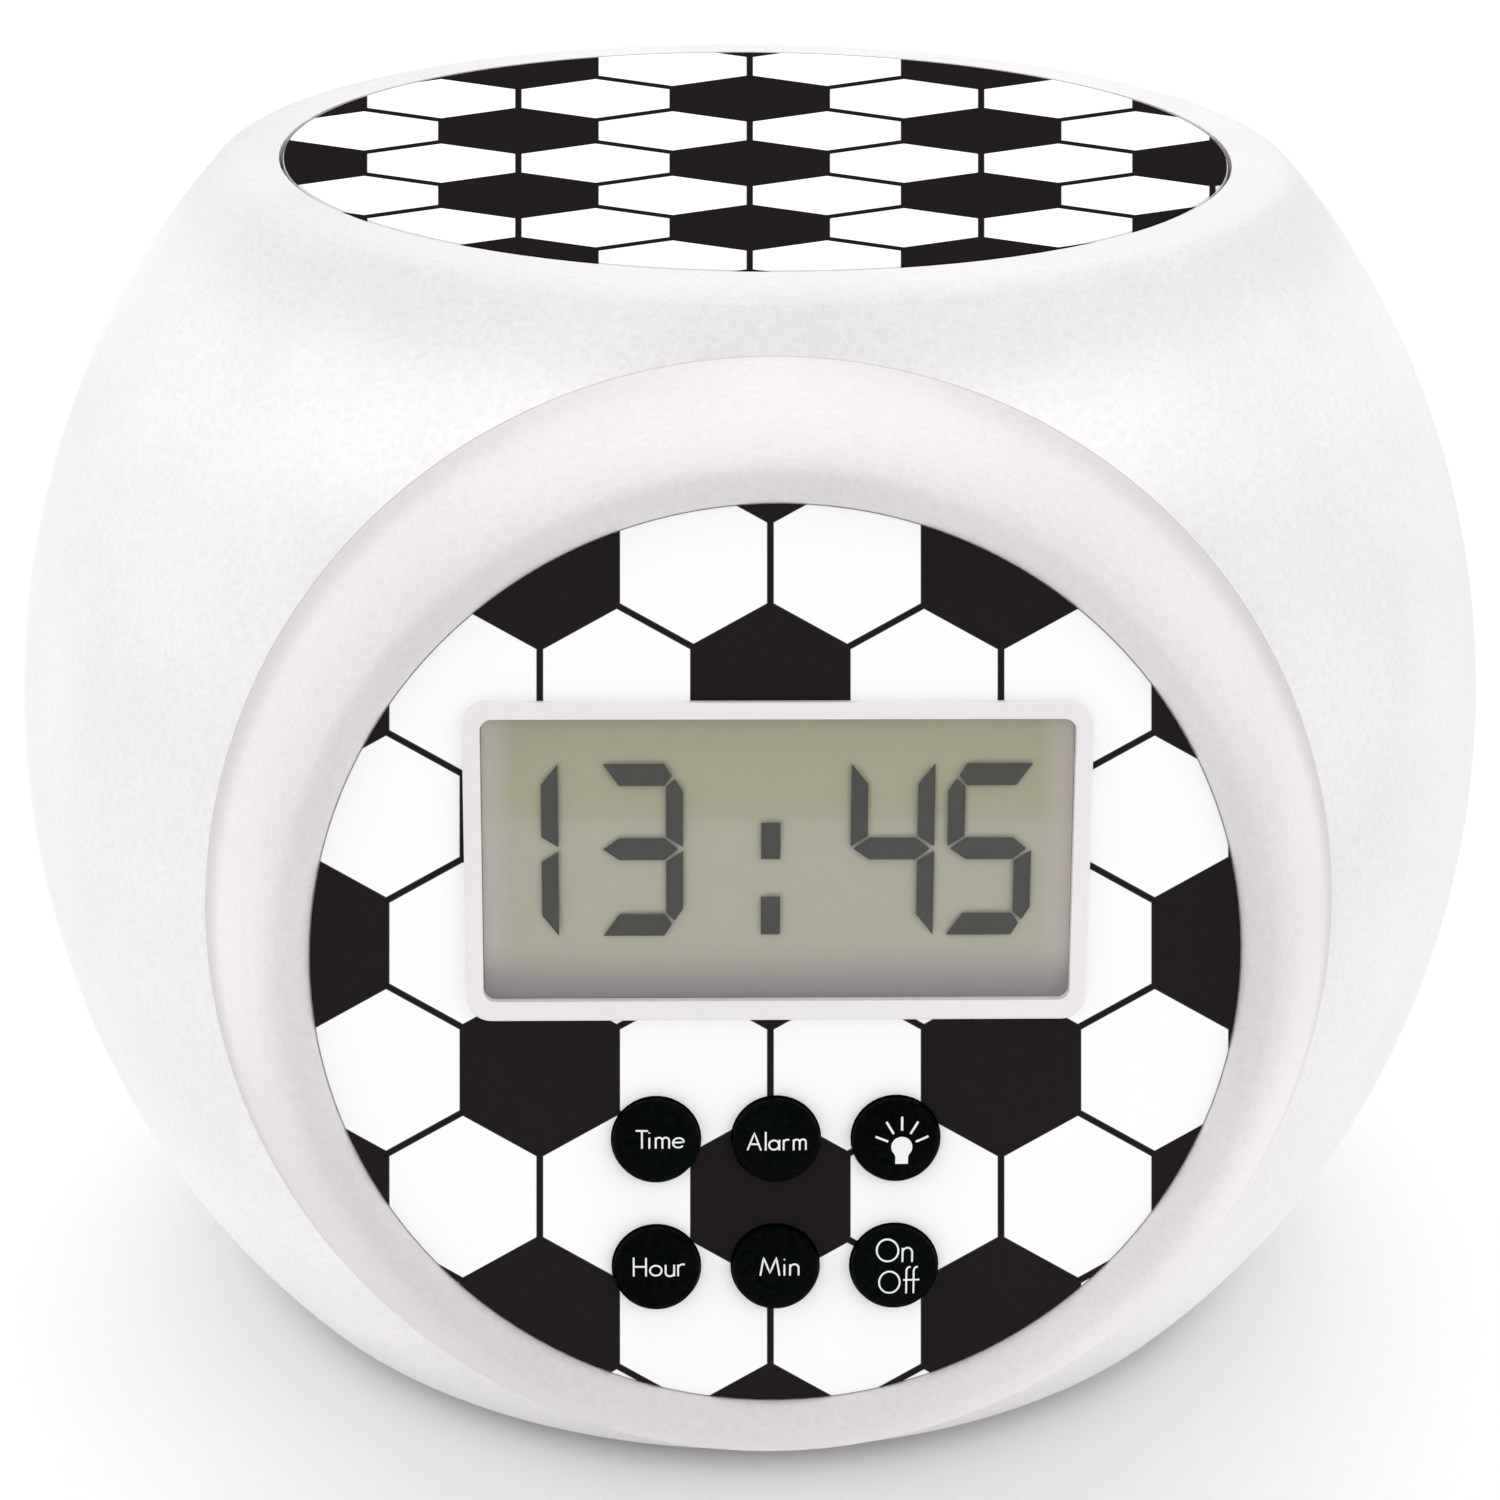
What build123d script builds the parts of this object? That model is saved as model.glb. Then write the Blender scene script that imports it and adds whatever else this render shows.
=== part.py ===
"""Table-top projection alarm clock: egg-shaped body, round tilted dial, press-top snooze, rear projector."""
from math import asin, cos, degrees, radians, sin, sqrt
import os

from build123d import *

os.makedirs("parts", exist_ok=True)

# ------------------------------------------------------------------ driving dimensions (mm, degrees)
# Body
body_radius = 70.0  # horizontal radius at the waist
body_half_height = 76.6  # vertical half axis of the egg, which the top and base planes cut short
waist_height = 53.5  # of the widest section above the table
top_height = 109.0
foot_height = 2.0  # the base plane stands this far off the table
shell_wall = 2.4
top_wall = 2.5
rim_rounding = 3.2
base_rounding = 2.0
seam_y = 14.0  # the shells meet behind the widest outline

# Dial drum
dial_tilt = 11.76  # the dial leans back by this much
dial_axis_height = 48.6  # where the dial's axis crosses the body's axis
drum_radius = 44.6
drum_depth = 64.0  # from the body's axis to the bezel's back edge
neck_step = 0.3  # the neck is this much smaller than the bezel
dial_rise = 12.5  # from the bezel's back edge to the dial's printed face
dial_radius = 35.07  # the opening that shows
crest_radius = 37.1
crest_rise = 1.2  # the bezel's crest over the dial face
side_lean = 12.0  # the bezel's side leans in by this much at its back edge
side_pull = 4.0  # how far the side follows that lean before it curves
crest_pull = 2.0  # how far the curve stays level outside the crest
bezel_wall = 2.2
spigot_length = 4.0
spigot_wall = 2.0
plate_ledge = 2.1  # how far the dial plate reaches under the bezel
plate_thickness = 2.0
label_thickness = 0.2

# Display
frame_width = 46.6
frame_height = 24.4
frame_centre = 8.2  # above the dial's centre
frame_proud = 0.8
frame_corner = 1.9
window_width = 44.0
window_height = 21.6
window_corner = 0.9
window_lift = 0.15  # the window's centre lies this far above the frame's
skirt_wall = 0.9
window_recess = 0.3
window_thickness = 0.8
display_thickness = 2.0
cradle_wall = 2.0
backlight_height = 15.6
strip_width = 2.2
strip_length = 40.0

# Buttons
button_radius = 3.3
button_pitch = 9.12
button_row_pitch = 10.3
button_rows_centre = -18.75
button_proud = 1.3
button_dome = 0.8
button_flat = 1.2  # radius of the flat on top
flange_radius = 4.3
flange_thickness = 1.0
key_gap = 0.15  # round a button, in the label and in the plate
key_travel = 0.8
key_overtravel = 0.5
switch_side = 6.0
switch_height = 1.7
plunger_radius = 1.0
plunger_length = 2.0
button_names = (("hour", "minute", "on_off"), ("time", "alarm", "light"))

# Boards and screws
board_thickness = 1.6
board_radius = 33.0
board_boss_radius = 2.4
board_boss_span = 57.0
board_boss_rise = 22.0
board_boss_centre = -2.0
screw_radius = 1.2
screw_head_radius = 2.4
screw_head_height = 1.4
screw_bite = 5.0  # length of thread in plastic
board_screw_bite = 3.6
barrel_screw_bite = 3.0
chip_side = 9.0
chip_height = 1.6

# Snooze top
cap_gap = 0.35
top_land = 5.0  # from the cap's well out to the egg's outline
cap_thickness = 2.2
cap_skirt = 5.3
cap_wall = 2.0
snooze_travel = 1.5
lip_depth = 7.5
lip_wall = 2.0
tray_drop = 2.5  # from the lip's lower edge to the tray's floor
tray_thickness = 2.0
tray_gap = 1.9  # between the tray's edge and the room's wall
tray_boss_inset = 3.9
tray_boss_radius = 2.4
post_inset = 8.9  # from the cap's edge to its posts
post_radius = 2.2
stop_head_radius = 3.4
stop_washer = 0.8
spring_wire = 0.3
spring_radius = 3.1
spring_turns = 4.0
cap_stem_radius = 3.0
cap_stem_length = 1.6
snooze_board_thickness = 1.2
snooze_switch_height = 3.0
snooze_plunger_radius = 1.2
snooze_plunger_length = 3.2

# Base
base_thickness = 2.4
base_screw_inset = 3.4  # from the base plate's edge
base_boss_radius = 3.0
base_boss_height = 9.0
base_rib_width = 2.2
foot_inset = 11.9  # from the base plate's edge
foot_radius = 4.5
foot_recess = 0.8
foot_rounding = 0.6

# Case screws, along Y near the sides
case_screw_inset = 18.0  # from the widest outline
case_screw_z = 28.0  # above and below the waist
case_boss_radius = 3.6
case_boss_front = 12.0  # boss length in the front shell
case_rib_width = 2.2
case_head_depth = 6.0  # plastic under the screw's head in the rear shell
well_radius = 2.9

# Speaker, face down over the base's sound holes
speaker_radius = 15.0
speaker_y = -12.0
speaker_wall = 2.0
speaker_height = 4.0
speaker_back = 1.0
magnet_radius = 8.0
magnet_height = 4.0
cone_thickness = 0.5
clamp_wall = 1.8
clamp_top = 1.2
sound_hole_radius = 1.2
sound_ring = 4.5

# Batteries: three AA cells, one over another
cell_radius = 7.25
cell_length = 49.2
cell_nub_radius = 2.75
cell_nub_length = 1.0
cell_count = 3
cell_pitch = 15.3
cell_setback = 31.5  # from the skin at the waist to the cells' axes
cells_centre_height = 32.5
contact_thickness = 0.4
contact_spring_length = 3.0
contact_side = 9.0
contact_spring_radius = 3.0
contact_spring_turns = 2.0
battery_wall = 1.6
battery_leg_inset = 1.0  # from the base plate's edge

# Battery cover: a piece of the rear shell's skin that pulls straight off
cover_gap = 0.4
cover_travel = 12.0
cover_clip_length = 5.0
cover_clip_width = 8.0
cover_clip_thickness = 1.6

# Projector
projector_tilt = 35.0
projector_height = 80.0  # where its axis leaves the body
barrel_radius = 11.0
barrel_wall = 1.6
barrel_front = 10.6
barrel_back = 22.0
collar_wall = 2.1
collar_depth = 8.0
barrel_flange_reach = 1.6
barrel_flange_thickness = 2.0
barrel_ear_offset = 13.4
barrel_ear_radius = 2.8
ledge_depth = 11.0
ledge_thickness = 3.0
ledge_width = 1.2
grip_radius = 13.0
grip_bore = 7.0
grip_groove_gap = 0.7
grip_start = 3.6
grip_length = 9.65
grip_groove_radius = 0.7
grip_groove_count = 24
grip_chamfer = 0.6
carrier_length = 7.0
carrier_start = 0.0
carrier_wall = 1.3
focus_travel = 3.0
focus_pin_radius = 0.9
focus_pin_reach = 0.5
focus_pin_setback = 1.4
carrier_ledge = 1.0
focus_turn = 120.0
lens_edge = 1.4
lens_bulge = 1.5
lamp_radius = 2.5
lamp_height = 5.0
slide_thickness = 0.4

# Clearances
fit = 0.1  # between a piece and the seat it is pressed or glued in
slip = 0.3  # between pieces that move past each other
thread_gap = 0.05

# ------------------------------------------------------------------ worked-out places
base_plane = foot_height
inner_radius = body_radius - shell_wall
inner_half_height = body_half_height - shell_wall


def egg_angle(height, half_height):
    """Angle along the egg's outline, in degrees, at a height above the table."""
    return degrees(asin((height - waist_height) / half_height))


def egg_arc(radius, half_height, low, high):
    """Arc angles of the egg's outline between two heights."""
    start = egg_angle(low, half_height)
    return {
        "center": (0, waist_height),
        "x_radius": radius,
        "y_radius": half_height,
        "start_angle": start,
        "arc_size": egg_angle(high, half_height) - start,
    }


def egg_radius(height, radius, half_height):
    """Horizontal radius of the egg at a height above the table."""
    return radius * sqrt(1 - ((height - waist_height) / half_height) ** 2)


# The cap's well keeps its land inside the egg's outline, and the base plate fills the lower opening.
well_opening = egg_radius(top_height, body_radius, body_half_height) - top_land
cap_radius = well_opening - cap_gap
post_circle = cap_radius - post_inset
base_radius = egg_radius(base_plane, inner_radius, inner_half_height) - slip
base_screw_circle = base_radius - base_screw_inset
foot_circle = base_radius - foot_inset
case_screw_x = body_radius - case_screw_inset

dial_depth = drum_depth + dial_rise
dial_normal = Vector(0, -cos(radians(dial_tilt)), sin(radians(dial_tilt)))
dial_origin = Vector(0, 0, dial_axis_height)
dial_axis = Axis(dial_origin, dial_normal)


def dial_plane(depth):
    """Plane across the dial's axis, with its y up the dial."""
    return Plane(origin=dial_origin + dial_normal * depth, x_dir=(1, 0, 0), z_dir=dial_normal)


dial_section = Plane(origin=dial_origin, x_dir=(1, 0, 0), z_dir=Vector(1, 0, 0).cross(dial_normal))

projector_direction = Vector(0, cos(radians(projector_tilt)), sin(radians(projector_tilt)))
projector_origin = Vector(0, egg_radius(projector_height, body_radius, body_half_height), projector_height)
projector_axis = Axis(projector_origin, projector_direction)


def projector_plane(depth):
    """Plane across the projector's axis; depth counts outwards from the body's skin."""
    return Plane(origin=projector_origin + projector_direction * depth, x_dir=(1, 0, 0), z_dir=projector_direction)


projector_section = Plane(
    origin=projector_origin, x_dir=(1, 0, 0), z_dir=Vector(1, 0, 0).cross(projector_direction)
)

# The bezel's side is one curve from its back edge to the crest.
crest_depth = dial_depth + crest_rise
side_guide = (
    drum_radius - side_pull * sin(radians(side_lean)),
    drum_depth + side_pull * cos(radians(side_lean)),
)
bezel_inside = drum_radius - bezel_wall - spigot_wall * sin(radians(side_lean))

# Stack behind the dial's face, measured along the dial's axis
label_back = dial_depth - label_thickness
plate_back = label_back - plate_thickness
flange_front = plate_back - fit
flange_back = flange_front - flange_thickness
switch_front = flange_back - key_travel - key_overtravel
board_front = switch_front - switch_height
board_back = board_front - board_thickness
window_front = dial_depth + frame_proud - window_recess
window_back = window_front - window_thickness
display_back = window_back - display_thickness
window_centre = frame_centre + window_lift
plate_radius = dial_radius + plate_ledge
neck_radius = drum_radius - neck_step
neck_bore = neck_radius - shell_wall
frame_skirt_width = window_width + 2 * skirt_wall
frame_skirt_height = window_height + 2 * skirt_wall
display_width = window_width - 4 * fit
display_height = window_height - 4 * fit

# Stack under the top, in height
cap_top = top_height - label_thickness
cap_under = cap_top - cap_thickness
lip_bottom = top_height - lip_depth
tray_top = lip_bottom - tray_drop
tray_bottom = tray_top - tray_thickness
tray_radius = egg_radius(tray_top, inner_radius, inner_half_height) - tray_gap
tray_boss_circle = tray_radius - tray_boss_inset
post_bottom = tray_bottom - fit
cap_stem_bottom = cap_under - cap_stem_length
snooze_board_top = tray_top + snooze_board_thickness
base_top = base_plane + base_thickness

# Battery bay
cells_y = body_radius - cell_setback
bay_half_length = (cell_length + cell_nub_length + contact_spring_length) / 2 + contact_thickness
bay_half_height = (cell_count - 1) * cell_pitch / 2 + cell_radius + slip
bay_front = cells_y - cell_radius - slip
bay_bottom = cells_centre_height - bay_half_height
bay_plane = Plane(origin=(0, bay_front, cells_centre_height), x_dir=(1, 0, 0), z_dir=(0, -1, 0))
clip_back = cells_y + cell_radius + slip - bay_front
leg_x = bay_half_length - 2 * battery_wall
battery_leg_length = sqrt((base_radius - battery_leg_inset) ** 2 - (leg_x + battery_wall / 2) ** 2) - bay_front
cell_heights = [cells_centre_height + (i - (cell_count - 1) / 2) * cell_pitch for i in range(cell_count)]

# Projector, along its own axis
barrel_bore = barrel_radius - barrel_wall
carrier_radius = barrel_bore - fit
carrier_bore = carrier_radius - carrier_wall
pin_depth = carrier_start + carrier_length - focus_pin_setback
lens_radius = carrier_bore - fit
pin_root = carrier_radius - carrier_wall / 2
grip_front = grip_start + grip_length


def screw(length):
    """A pan-head screw with a cross slot: the head stands on z = 0 and the shaft hangs below."""
    with BuildPart() as blank:
        Cylinder(screw_head_radius, screw_head_height, align=(Align.CENTER, Align.CENTER, Align.MIN))
        fillet(blank.edges().filter_by(GeomType.CIRCLE).sort_by(Axis.Z)[-1], screw_head_height / 3)
        with BuildSketch(Plane.XY.offset(screw_head_height)):
            Rectangle(screw_head_radius, screw_radius / 2)
            Rectangle(screw_radius / 2, screw_head_radius)
        extrude(amount=-screw_head_height / 2, mode=Mode.SUBTRACT)
        Cylinder(screw_radius, length, align=(Align.CENTER, Align.CENTER, Align.MAX))
    return blank.part


def coil(radius, wire, length, turns):
    """A compression spring that stands on z = 0."""
    rise_height = length - 2 * wire
    with BuildPart() as spring:
        with BuildLine() as path:
            Helix(rise_height / turns, rise_height, radius, center=(0, 0, wire))
        with BuildSketch(Plane(origin=path.line @ 0, z_dir=path.line % 0)):
            Circle(wire)
        sweep(is_frenet=True)
    return spring.part


def lens(radius):
    """A lens with its flat side on z = 0 and its curved side above."""
    sphere_radius = (radius**2 + lens_bulge**2) / (2 * lens_bulge)
    with BuildPart() as blank:
        Cylinder(radius, lens_edge + lens_bulge, align=(Align.CENTER, Align.CENTER, Align.MIN))
        with Locations((0, 0, lens_edge + lens_bulge - sphere_radius)):
            Sphere(sphere_radius, mode=Mode.INTERSECT)
    return blank.part


# ------------------------------------------------------------------ the body's two solids of revolution
with BuildPart() as casing:  # the whole outer form, filled
    with BuildSketch(Plane.XZ):
        with BuildLine():
            egg = EllipticalCenterArc(**egg_arc(body_radius, body_half_height, base_plane, top_height))
            Polyline(egg @ 1, (0, top_height), (0, base_plane), egg @ 0)
        make_face()
    revolve(axis=Axis.Z)
    rims = casing.edges().filter_by(GeomType.CIRCLE).sort_by(Axis.Z)
    fillet(rims[-1], rim_rounding)
    fillet(rims[0], base_rounding)
    with BuildSketch(dial_plane(drum_depth)):  # the neck, and the flat in front of it that the bezel covers
        Circle(neck_radius)
    extrude(amount=-drum_depth / 2)
    with BuildSketch(dial_plane(drum_depth)):
        Circle(drum_radius + slip)
    extrude(amount=body_radius, mode=Mode.SUBTRACT)

with BuildPart() as room:  # the egg-shaped space inside the shells
    with BuildSketch(Plane.XZ):
        with BuildLine():
            room_top = top_height - top_wall
            egg = EllipticalCenterArc(**egg_arc(inner_radius, inner_half_height, base_plane, room_top))
            Polyline(egg @ 1, (0, room_top), (0, base_plane), egg @ 0)
        make_face()
    revolve(axis=Axis.Z)

with BuildPart() as room_fit:  # the same space, a fit smaller, to trim what fills it
    with BuildSketch(Plane.XZ):
        with BuildLine():
            egg = EllipticalCenterArc(
                **egg_arc(inner_radius - slip, inner_half_height - slip, base_plane, room_top)
            )
            Polyline(egg @ 1, (0, room_top), (0, base_plane), egg @ 0)
        make_face()
    revolve(axis=Axis.Z)

case_seam = Plane(origin=(0, seam_y, waist_height), x_dir=(1, 0, 0), z_dir=(0, -1, 0))


def case_screw_spots():
    """The four case screws, on the seam plane."""
    return GridLocations(2 * case_screw_x, 2 * case_screw_z, 2, 2)


with BuildPart() as hollow:  # the air in the shells: the room, its openings, less every boss
    add(room.part)
    with BuildSketch(Plane.XY.offset(lip_bottom)):
        Circle(well_opening + lip_wall)
        Circle(well_opening, mode=Mode.SUBTRACT)
    extrude(amount=lip_depth, mode=Mode.SUBTRACT)
    with BuildSketch(Plane.XY.offset(lip_bottom)):
        Circle(well_opening)
    extrude(amount=2 * lip_depth)
    with BuildSketch(Plane.XY.offset(tray_top)):  # tray bosses
        with PolarLocations(tray_boss_circle, 4, start_angle=45):
            Circle(tray_boss_radius)
    extrude(amount=lip_depth, mode=Mode.SUBTRACT)
    with BuildSketch(Plane.XY.offset(base_top)):  # base bosses and the ribs that carry them
        with PolarLocations(base_screw_circle, 4, start_angle=45):
            Circle(base_boss_radius)
            Rectangle(base_boss_height, base_rib_width, align=(Align.MIN, Align.CENTER))
    extrude(amount=base_boss_height, mode=Mode.SUBTRACT)
    with BuildSketch(case_seam.offset(case_boss_front)):  # case screw bosses, and ribs out to the side walls
        with case_screw_spots():
            Circle(case_boss_radius)
        with GridLocations(case_screw_x + body_radius, 2 * case_screw_z, 2, 2):
            Rectangle(body_radius - case_screw_x, case_rib_width)
    extrude(amount=-body_radius, mode=Mode.SUBTRACT)
    with BuildSketch(projector_plane(-collar_depth)):  # collar round the projector, and its screw bosses
        Circle(barrel_radius + fit + collar_wall)
        with GridLocations(2 * barrel_ear_offset, 0, 2, 1):
            Circle(screw_head_radius)
    extrude(amount=2 * collar_depth, mode=Mode.SUBTRACT)
    with BuildSketch(dial_plane(drum_depth)):  # the way into the drum
        Circle(neck_bore)
    extrude(amount=-drum_depth / 3)

# ------------------------------------------------------------------ shells
with BuildPart() as front_shell:
    add(casing.part)
    add(hollow.part, mode=Mode.SUBTRACT)
    split(bisect_by=case_seam, keep=Keep.TOP)
    with BuildSketch(case_seam):
        with case_screw_spots():
            Circle(screw_radius + thread_gap)
    extrude(amount=screw_bite + fit, mode=Mode.SUBTRACT)
    with BuildSketch(Plane.XY.offset(tray_top)):
        with PolarLocations(tray_boss_circle, 4, start_angle=45):
            Circle(screw_radius + thread_gap)
    extrude(amount=screw_bite + fit, mode=Mode.SUBTRACT)
    with BuildSketch(Plane.XY.offset(base_top)):
        with PolarLocations(base_screw_circle, 4, start_angle=45):
            Circle(screw_radius + thread_gap)
    extrude(amount=screw_bite + fit, mode=Mode.SUBTRACT)
front_shell.part.label = "front_shell"
export_step(front_shell.part, "parts/front_shell.step")

with BuildPart() as rear_shell:
    add(casing.part)
    add(hollow.part, mode=Mode.SUBTRACT)
    split(bisect_by=case_seam, keep=Keep.BOTTOM)
    with BuildSketch(case_seam):
        with case_screw_spots():
            Circle(screw_radius + fit)
    extrude(amount=-case_head_depth, mode=Mode.SUBTRACT)
    with BuildSketch(case_seam.offset(-case_head_depth)):
        with case_screw_spots():
            Circle(well_radius)
    extrude(amount=-body_radius, mode=Mode.SUBTRACT)
    with BuildSketch(Plane.XY.offset(tray_top)):
        with PolarLocations(tray_boss_circle, 4, start_angle=45):
            Circle(screw_radius + thread_gap)
    extrude(amount=screw_bite + fit, mode=Mode.SUBTRACT)
    with BuildSketch(Plane.XY.offset(base_top)):
        with PolarLocations(base_screw_circle, 4, start_angle=45):
            Circle(screw_radius + thread_gap)
    extrude(amount=screw_bite + fit, mode=Mode.SUBTRACT)
    with BuildSketch(projector_plane(-barrel_back)):
        Circle(barrel_radius + fit)
    extrude(amount=2 * barrel_back, mode=Mode.SUBTRACT)
    with BuildSketch(projector_plane(-collar_depth)):
        with GridLocations(2 * barrel_ear_offset, 0, 2, 1):
            Circle(screw_radius + thread_gap)
    extrude(amount=barrel_screw_bite + fit, mode=Mode.SUBTRACT)
    with BuildSketch(bay_plane):
        Rectangle(2 * bay_half_length, 2 * bay_half_height)
    extrude(amount=-body_radius, mode=Mode.SUBTRACT)
rear_shell.part.label = "rear_shell"
export_step(rear_shell.part, "parts/rear_shell.step")

# ------------------------------------------------------------------ base
with BuildPart() as base_plate:
    with BuildSketch(Plane.XY.offset(base_plane)):
        Circle(base_radius)
    extrude(amount=base_thickness)
    with BuildSketch(Plane.XY.offset(base_plane)):
        with PolarLocations(foot_circle, 4, start_angle=45):
            Circle(foot_radius + fit)
    extrude(amount=foot_recess, mode=Mode.SUBTRACT)
    with BuildSketch(Plane.XY.offset(base_plane)):
        with PolarLocations(base_screw_circle, 4, start_angle=45):
            Circle(screw_head_radius + fit)
    extrude(amount=screw_head_height, mode=Mode.SUBTRACT)
    with BuildSketch(Plane.XY.offset(base_plane)):
        with PolarLocations(base_screw_circle, 4, start_angle=45):
            Circle(screw_radius + fit)
        with Locations((0, speaker_y)):  # sound holes: one in the middle and two rings
            Circle(sound_hole_radius)
            with PolarLocations(sound_ring, 6):
                Circle(sound_hole_radius)
            with PolarLocations(2 * sound_ring, 12):
                Circle(sound_hole_radius)
    extrude(amount=base_thickness, mode=Mode.SUBTRACT)
base_plate.part.label = "base_plate"
export_step(base_plate.part, "parts/base_plate.step")

with BuildPart() as rubber_feet:
    with BuildSketch():
        with PolarLocations(foot_circle, 4, start_angle=45):
            Circle(foot_radius)
    extrude(amount=base_plane + foot_recess)
    fillet(rubber_feet.edges().filter_by(GeomType.CIRCLE).group_by(Axis.Z)[0], foot_rounding)
rubber_feet.part.label = "rubber_feet"
export_step(rubber_feet.part, "parts/rubber_feet.step")

base_screw = screw(base_thickness - screw_head_height + screw_bite)
base_screw_plane = Plane(origin=(0, 0, base_plane + screw_head_height), x_dir=(1, 0, 0), z_dir=(0, 0, -1))
with BuildPart(base_screw_plane) as base_screws:
    with PolarLocations(base_screw_circle, 4, start_angle=45):
        add(base_screw)
base_screws.part.label = "base_screws"
export_step(base_screws.part, "parts/base_screws.step")

case_screw = screw(case_head_depth + screw_bite)
case_screw_plane = Plane(
    origin=(0, seam_y + case_head_depth, waist_height), x_dir=(1, 0, 0), z_dir=(0, 1, 0)
)
with BuildPart(case_screw_plane) as case_screws:
    with case_screw_spots():
        add(case_screw)
case_screws.part.label = "case_screws"
export_step(case_screws.part, "parts/case_screws.step")

# ------------------------------------------------------------------ bezel and dial
with BuildPart() as bezel_ring:
    with BuildSketch(dial_section):
        with BuildLine():
            side = Bezier(
                (drum_radius, drum_depth),
                side_guide,
                (crest_radius + crest_pull, crest_depth),
                (crest_radius, crest_depth),
            )
            roll = EllipticalCenterArc(
                (crest_radius, dial_depth), crest_radius - dial_radius, crest_rise, start_angle=90, arc_size=90
            )
            Polyline(
                roll @ 1,
                (dial_radius, label_back),
                (plate_radius + fit, label_back),
                (plate_radius + fit, plate_back - bezel_wall / 2),
                (bezel_inside, drum_depth + spigot_wall),
                (neck_bore - fit - spigot_wall, drum_depth),
                (neck_bore - fit - spigot_wall, drum_depth - spigot_length),
                (neck_bore - fit, drum_depth - spigot_length),
                (neck_bore - fit, drum_depth),
                side @ 0,
            )
        make_face()
    revolve(axis=dial_axis)
bezel_ring.part.label = "bezel_ring"
export_step(bezel_ring.part, "parts/bezel_ring.step")


def button_spots():
    """The six buttons, from the middle of their rows."""
    return GridLocations(button_pitch, button_row_pitch, 3, 2)


def boss_spots():
    """The four board screws, from the middle of their bosses."""
    return GridLocations(board_boss_span, board_boss_rise, 2, 2)


with BuildPart() as dial_plate:
    with BuildSketch(dial_plane(plate_back)):
        Circle(plate_radius)
    extrude(amount=plate_thickness)
    with BuildSketch(dial_plane(board_front)):
        with Locations((0, board_boss_centre)):
            with boss_spots():
                Circle(board_boss_radius)
    extrude(amount=plate_back - board_front)
    with BuildSketch(dial_plane(plate_back)):
        with Locations((0, window_centre)):
            RectangleRounded(frame_skirt_width + 2 * fit, frame_skirt_height + 2 * fit, window_corner + skirt_wall)
        with Locations((0, button_rows_centre)):
            with button_spots():
                Circle(button_radius + key_gap)
    extrude(amount=plate_thickness, mode=Mode.SUBTRACT)
    with BuildSketch(dial_plane(board_front)):
        with Locations((0, board_boss_centre)):
            with boss_spots():
                Circle(screw_radius + thread_gap)
    extrude(amount=board_screw_bite + fit, mode=Mode.SUBTRACT)
dial_plate.part.label = "dial_plate"
export_step(dial_plate.part, "parts/dial_plate.step")

with BuildPart() as dial_label:
    with BuildSketch(dial_plane(label_back)):
        Circle(dial_radius - fit)
        with Locations((0, window_centre)):
            RectangleRounded(
                frame_skirt_width + 2 * fit,
                frame_skirt_height + 2 * fit,
                window_corner + skirt_wall,
                mode=Mode.SUBTRACT,
            )
        with Locations((0, button_rows_centre)):
            with button_spots():
                Circle(button_radius + key_gap, mode=Mode.SUBTRACT)
    extrude(amount=label_thickness)
dial_label.part.label = "dial_label"
export_step(dial_label.part, "parts/dial_label.step")

with BuildPart() as display_frame:
    with BuildSketch(dial_plane(dial_depth)):
        with Locations((0, frame_centre)):
            RectangleRounded(frame_width, frame_height, frame_corner)
    extrude(amount=frame_proud)
    face_edges = display_frame.faces().sort_by(dial_axis)[-1].edges()
    fillet(face_edges, frame_proud / 3)
    with BuildSketch(dial_plane(plate_back)):
        with Locations((0, window_centre)):
            RectangleRounded(frame_skirt_width, frame_skirt_height, window_corner + skirt_wall)
    extrude(amount=plate_thickness + label_thickness)
    with BuildSketch(dial_plane(plate_back)):
        with Locations((0, window_centre)):
            RectangleRounded(window_width, window_height, window_corner)
    extrude(amount=2 * plate_thickness, mode=Mode.SUBTRACT)
display_frame.part.label = "display_frame"
export_step(display_frame.part, "parts/display_frame.step")

display_window_width = window_width - 2 * fit
display_window_height = window_height - 2 * fit


def display_slab(back, thickness, width, height, corner):
    """A rounded slab on the display's centre, from its back face forwards."""
    with BuildPart() as plate:
        with BuildSketch(dial_plane(back)):
            with Locations((0, window_centre)):
                RectangleRounded(width, height, corner)
        extrude(amount=thickness)
    return plate.part


with BuildPart() as display_window:
    add(display_slab(window_back, window_thickness, display_window_width, display_window_height, window_corner))
display_window.part.label = "display_window"
export_step(display_window.part, "parts/display_window.step")

with BuildPart() as display_panel:
    add(display_slab(display_back, display_thickness, display_width, display_height, window_corner / 2))
display_panel.part.label = "display_panel"
export_step(display_panel.part, "parts/display_panel.step")

stack_behind = display_back - board_front
with BuildPart() as backlight_block:
    add(display_slab(board_front, stack_behind, display_width, backlight_height, window_corner / 2))
backlight_block.part.label = "backlight_block"
export_step(backlight_block.part, "parts/backlight_block.step")

strip_offset = backlight_height / 2 + slip + strip_width / 2
with BuildPart() as connector_strips:
    with BuildSketch(dial_plane(board_front)):
        with Locations((0, window_centre - strip_offset), (0, window_centre + strip_offset)):
            Rectangle(strip_length, strip_width)
    extrude(amount=stack_behind)
connector_strips.part.label = "connector_strips"
export_step(connector_strips.part, "parts/connector_strips.step")

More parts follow.
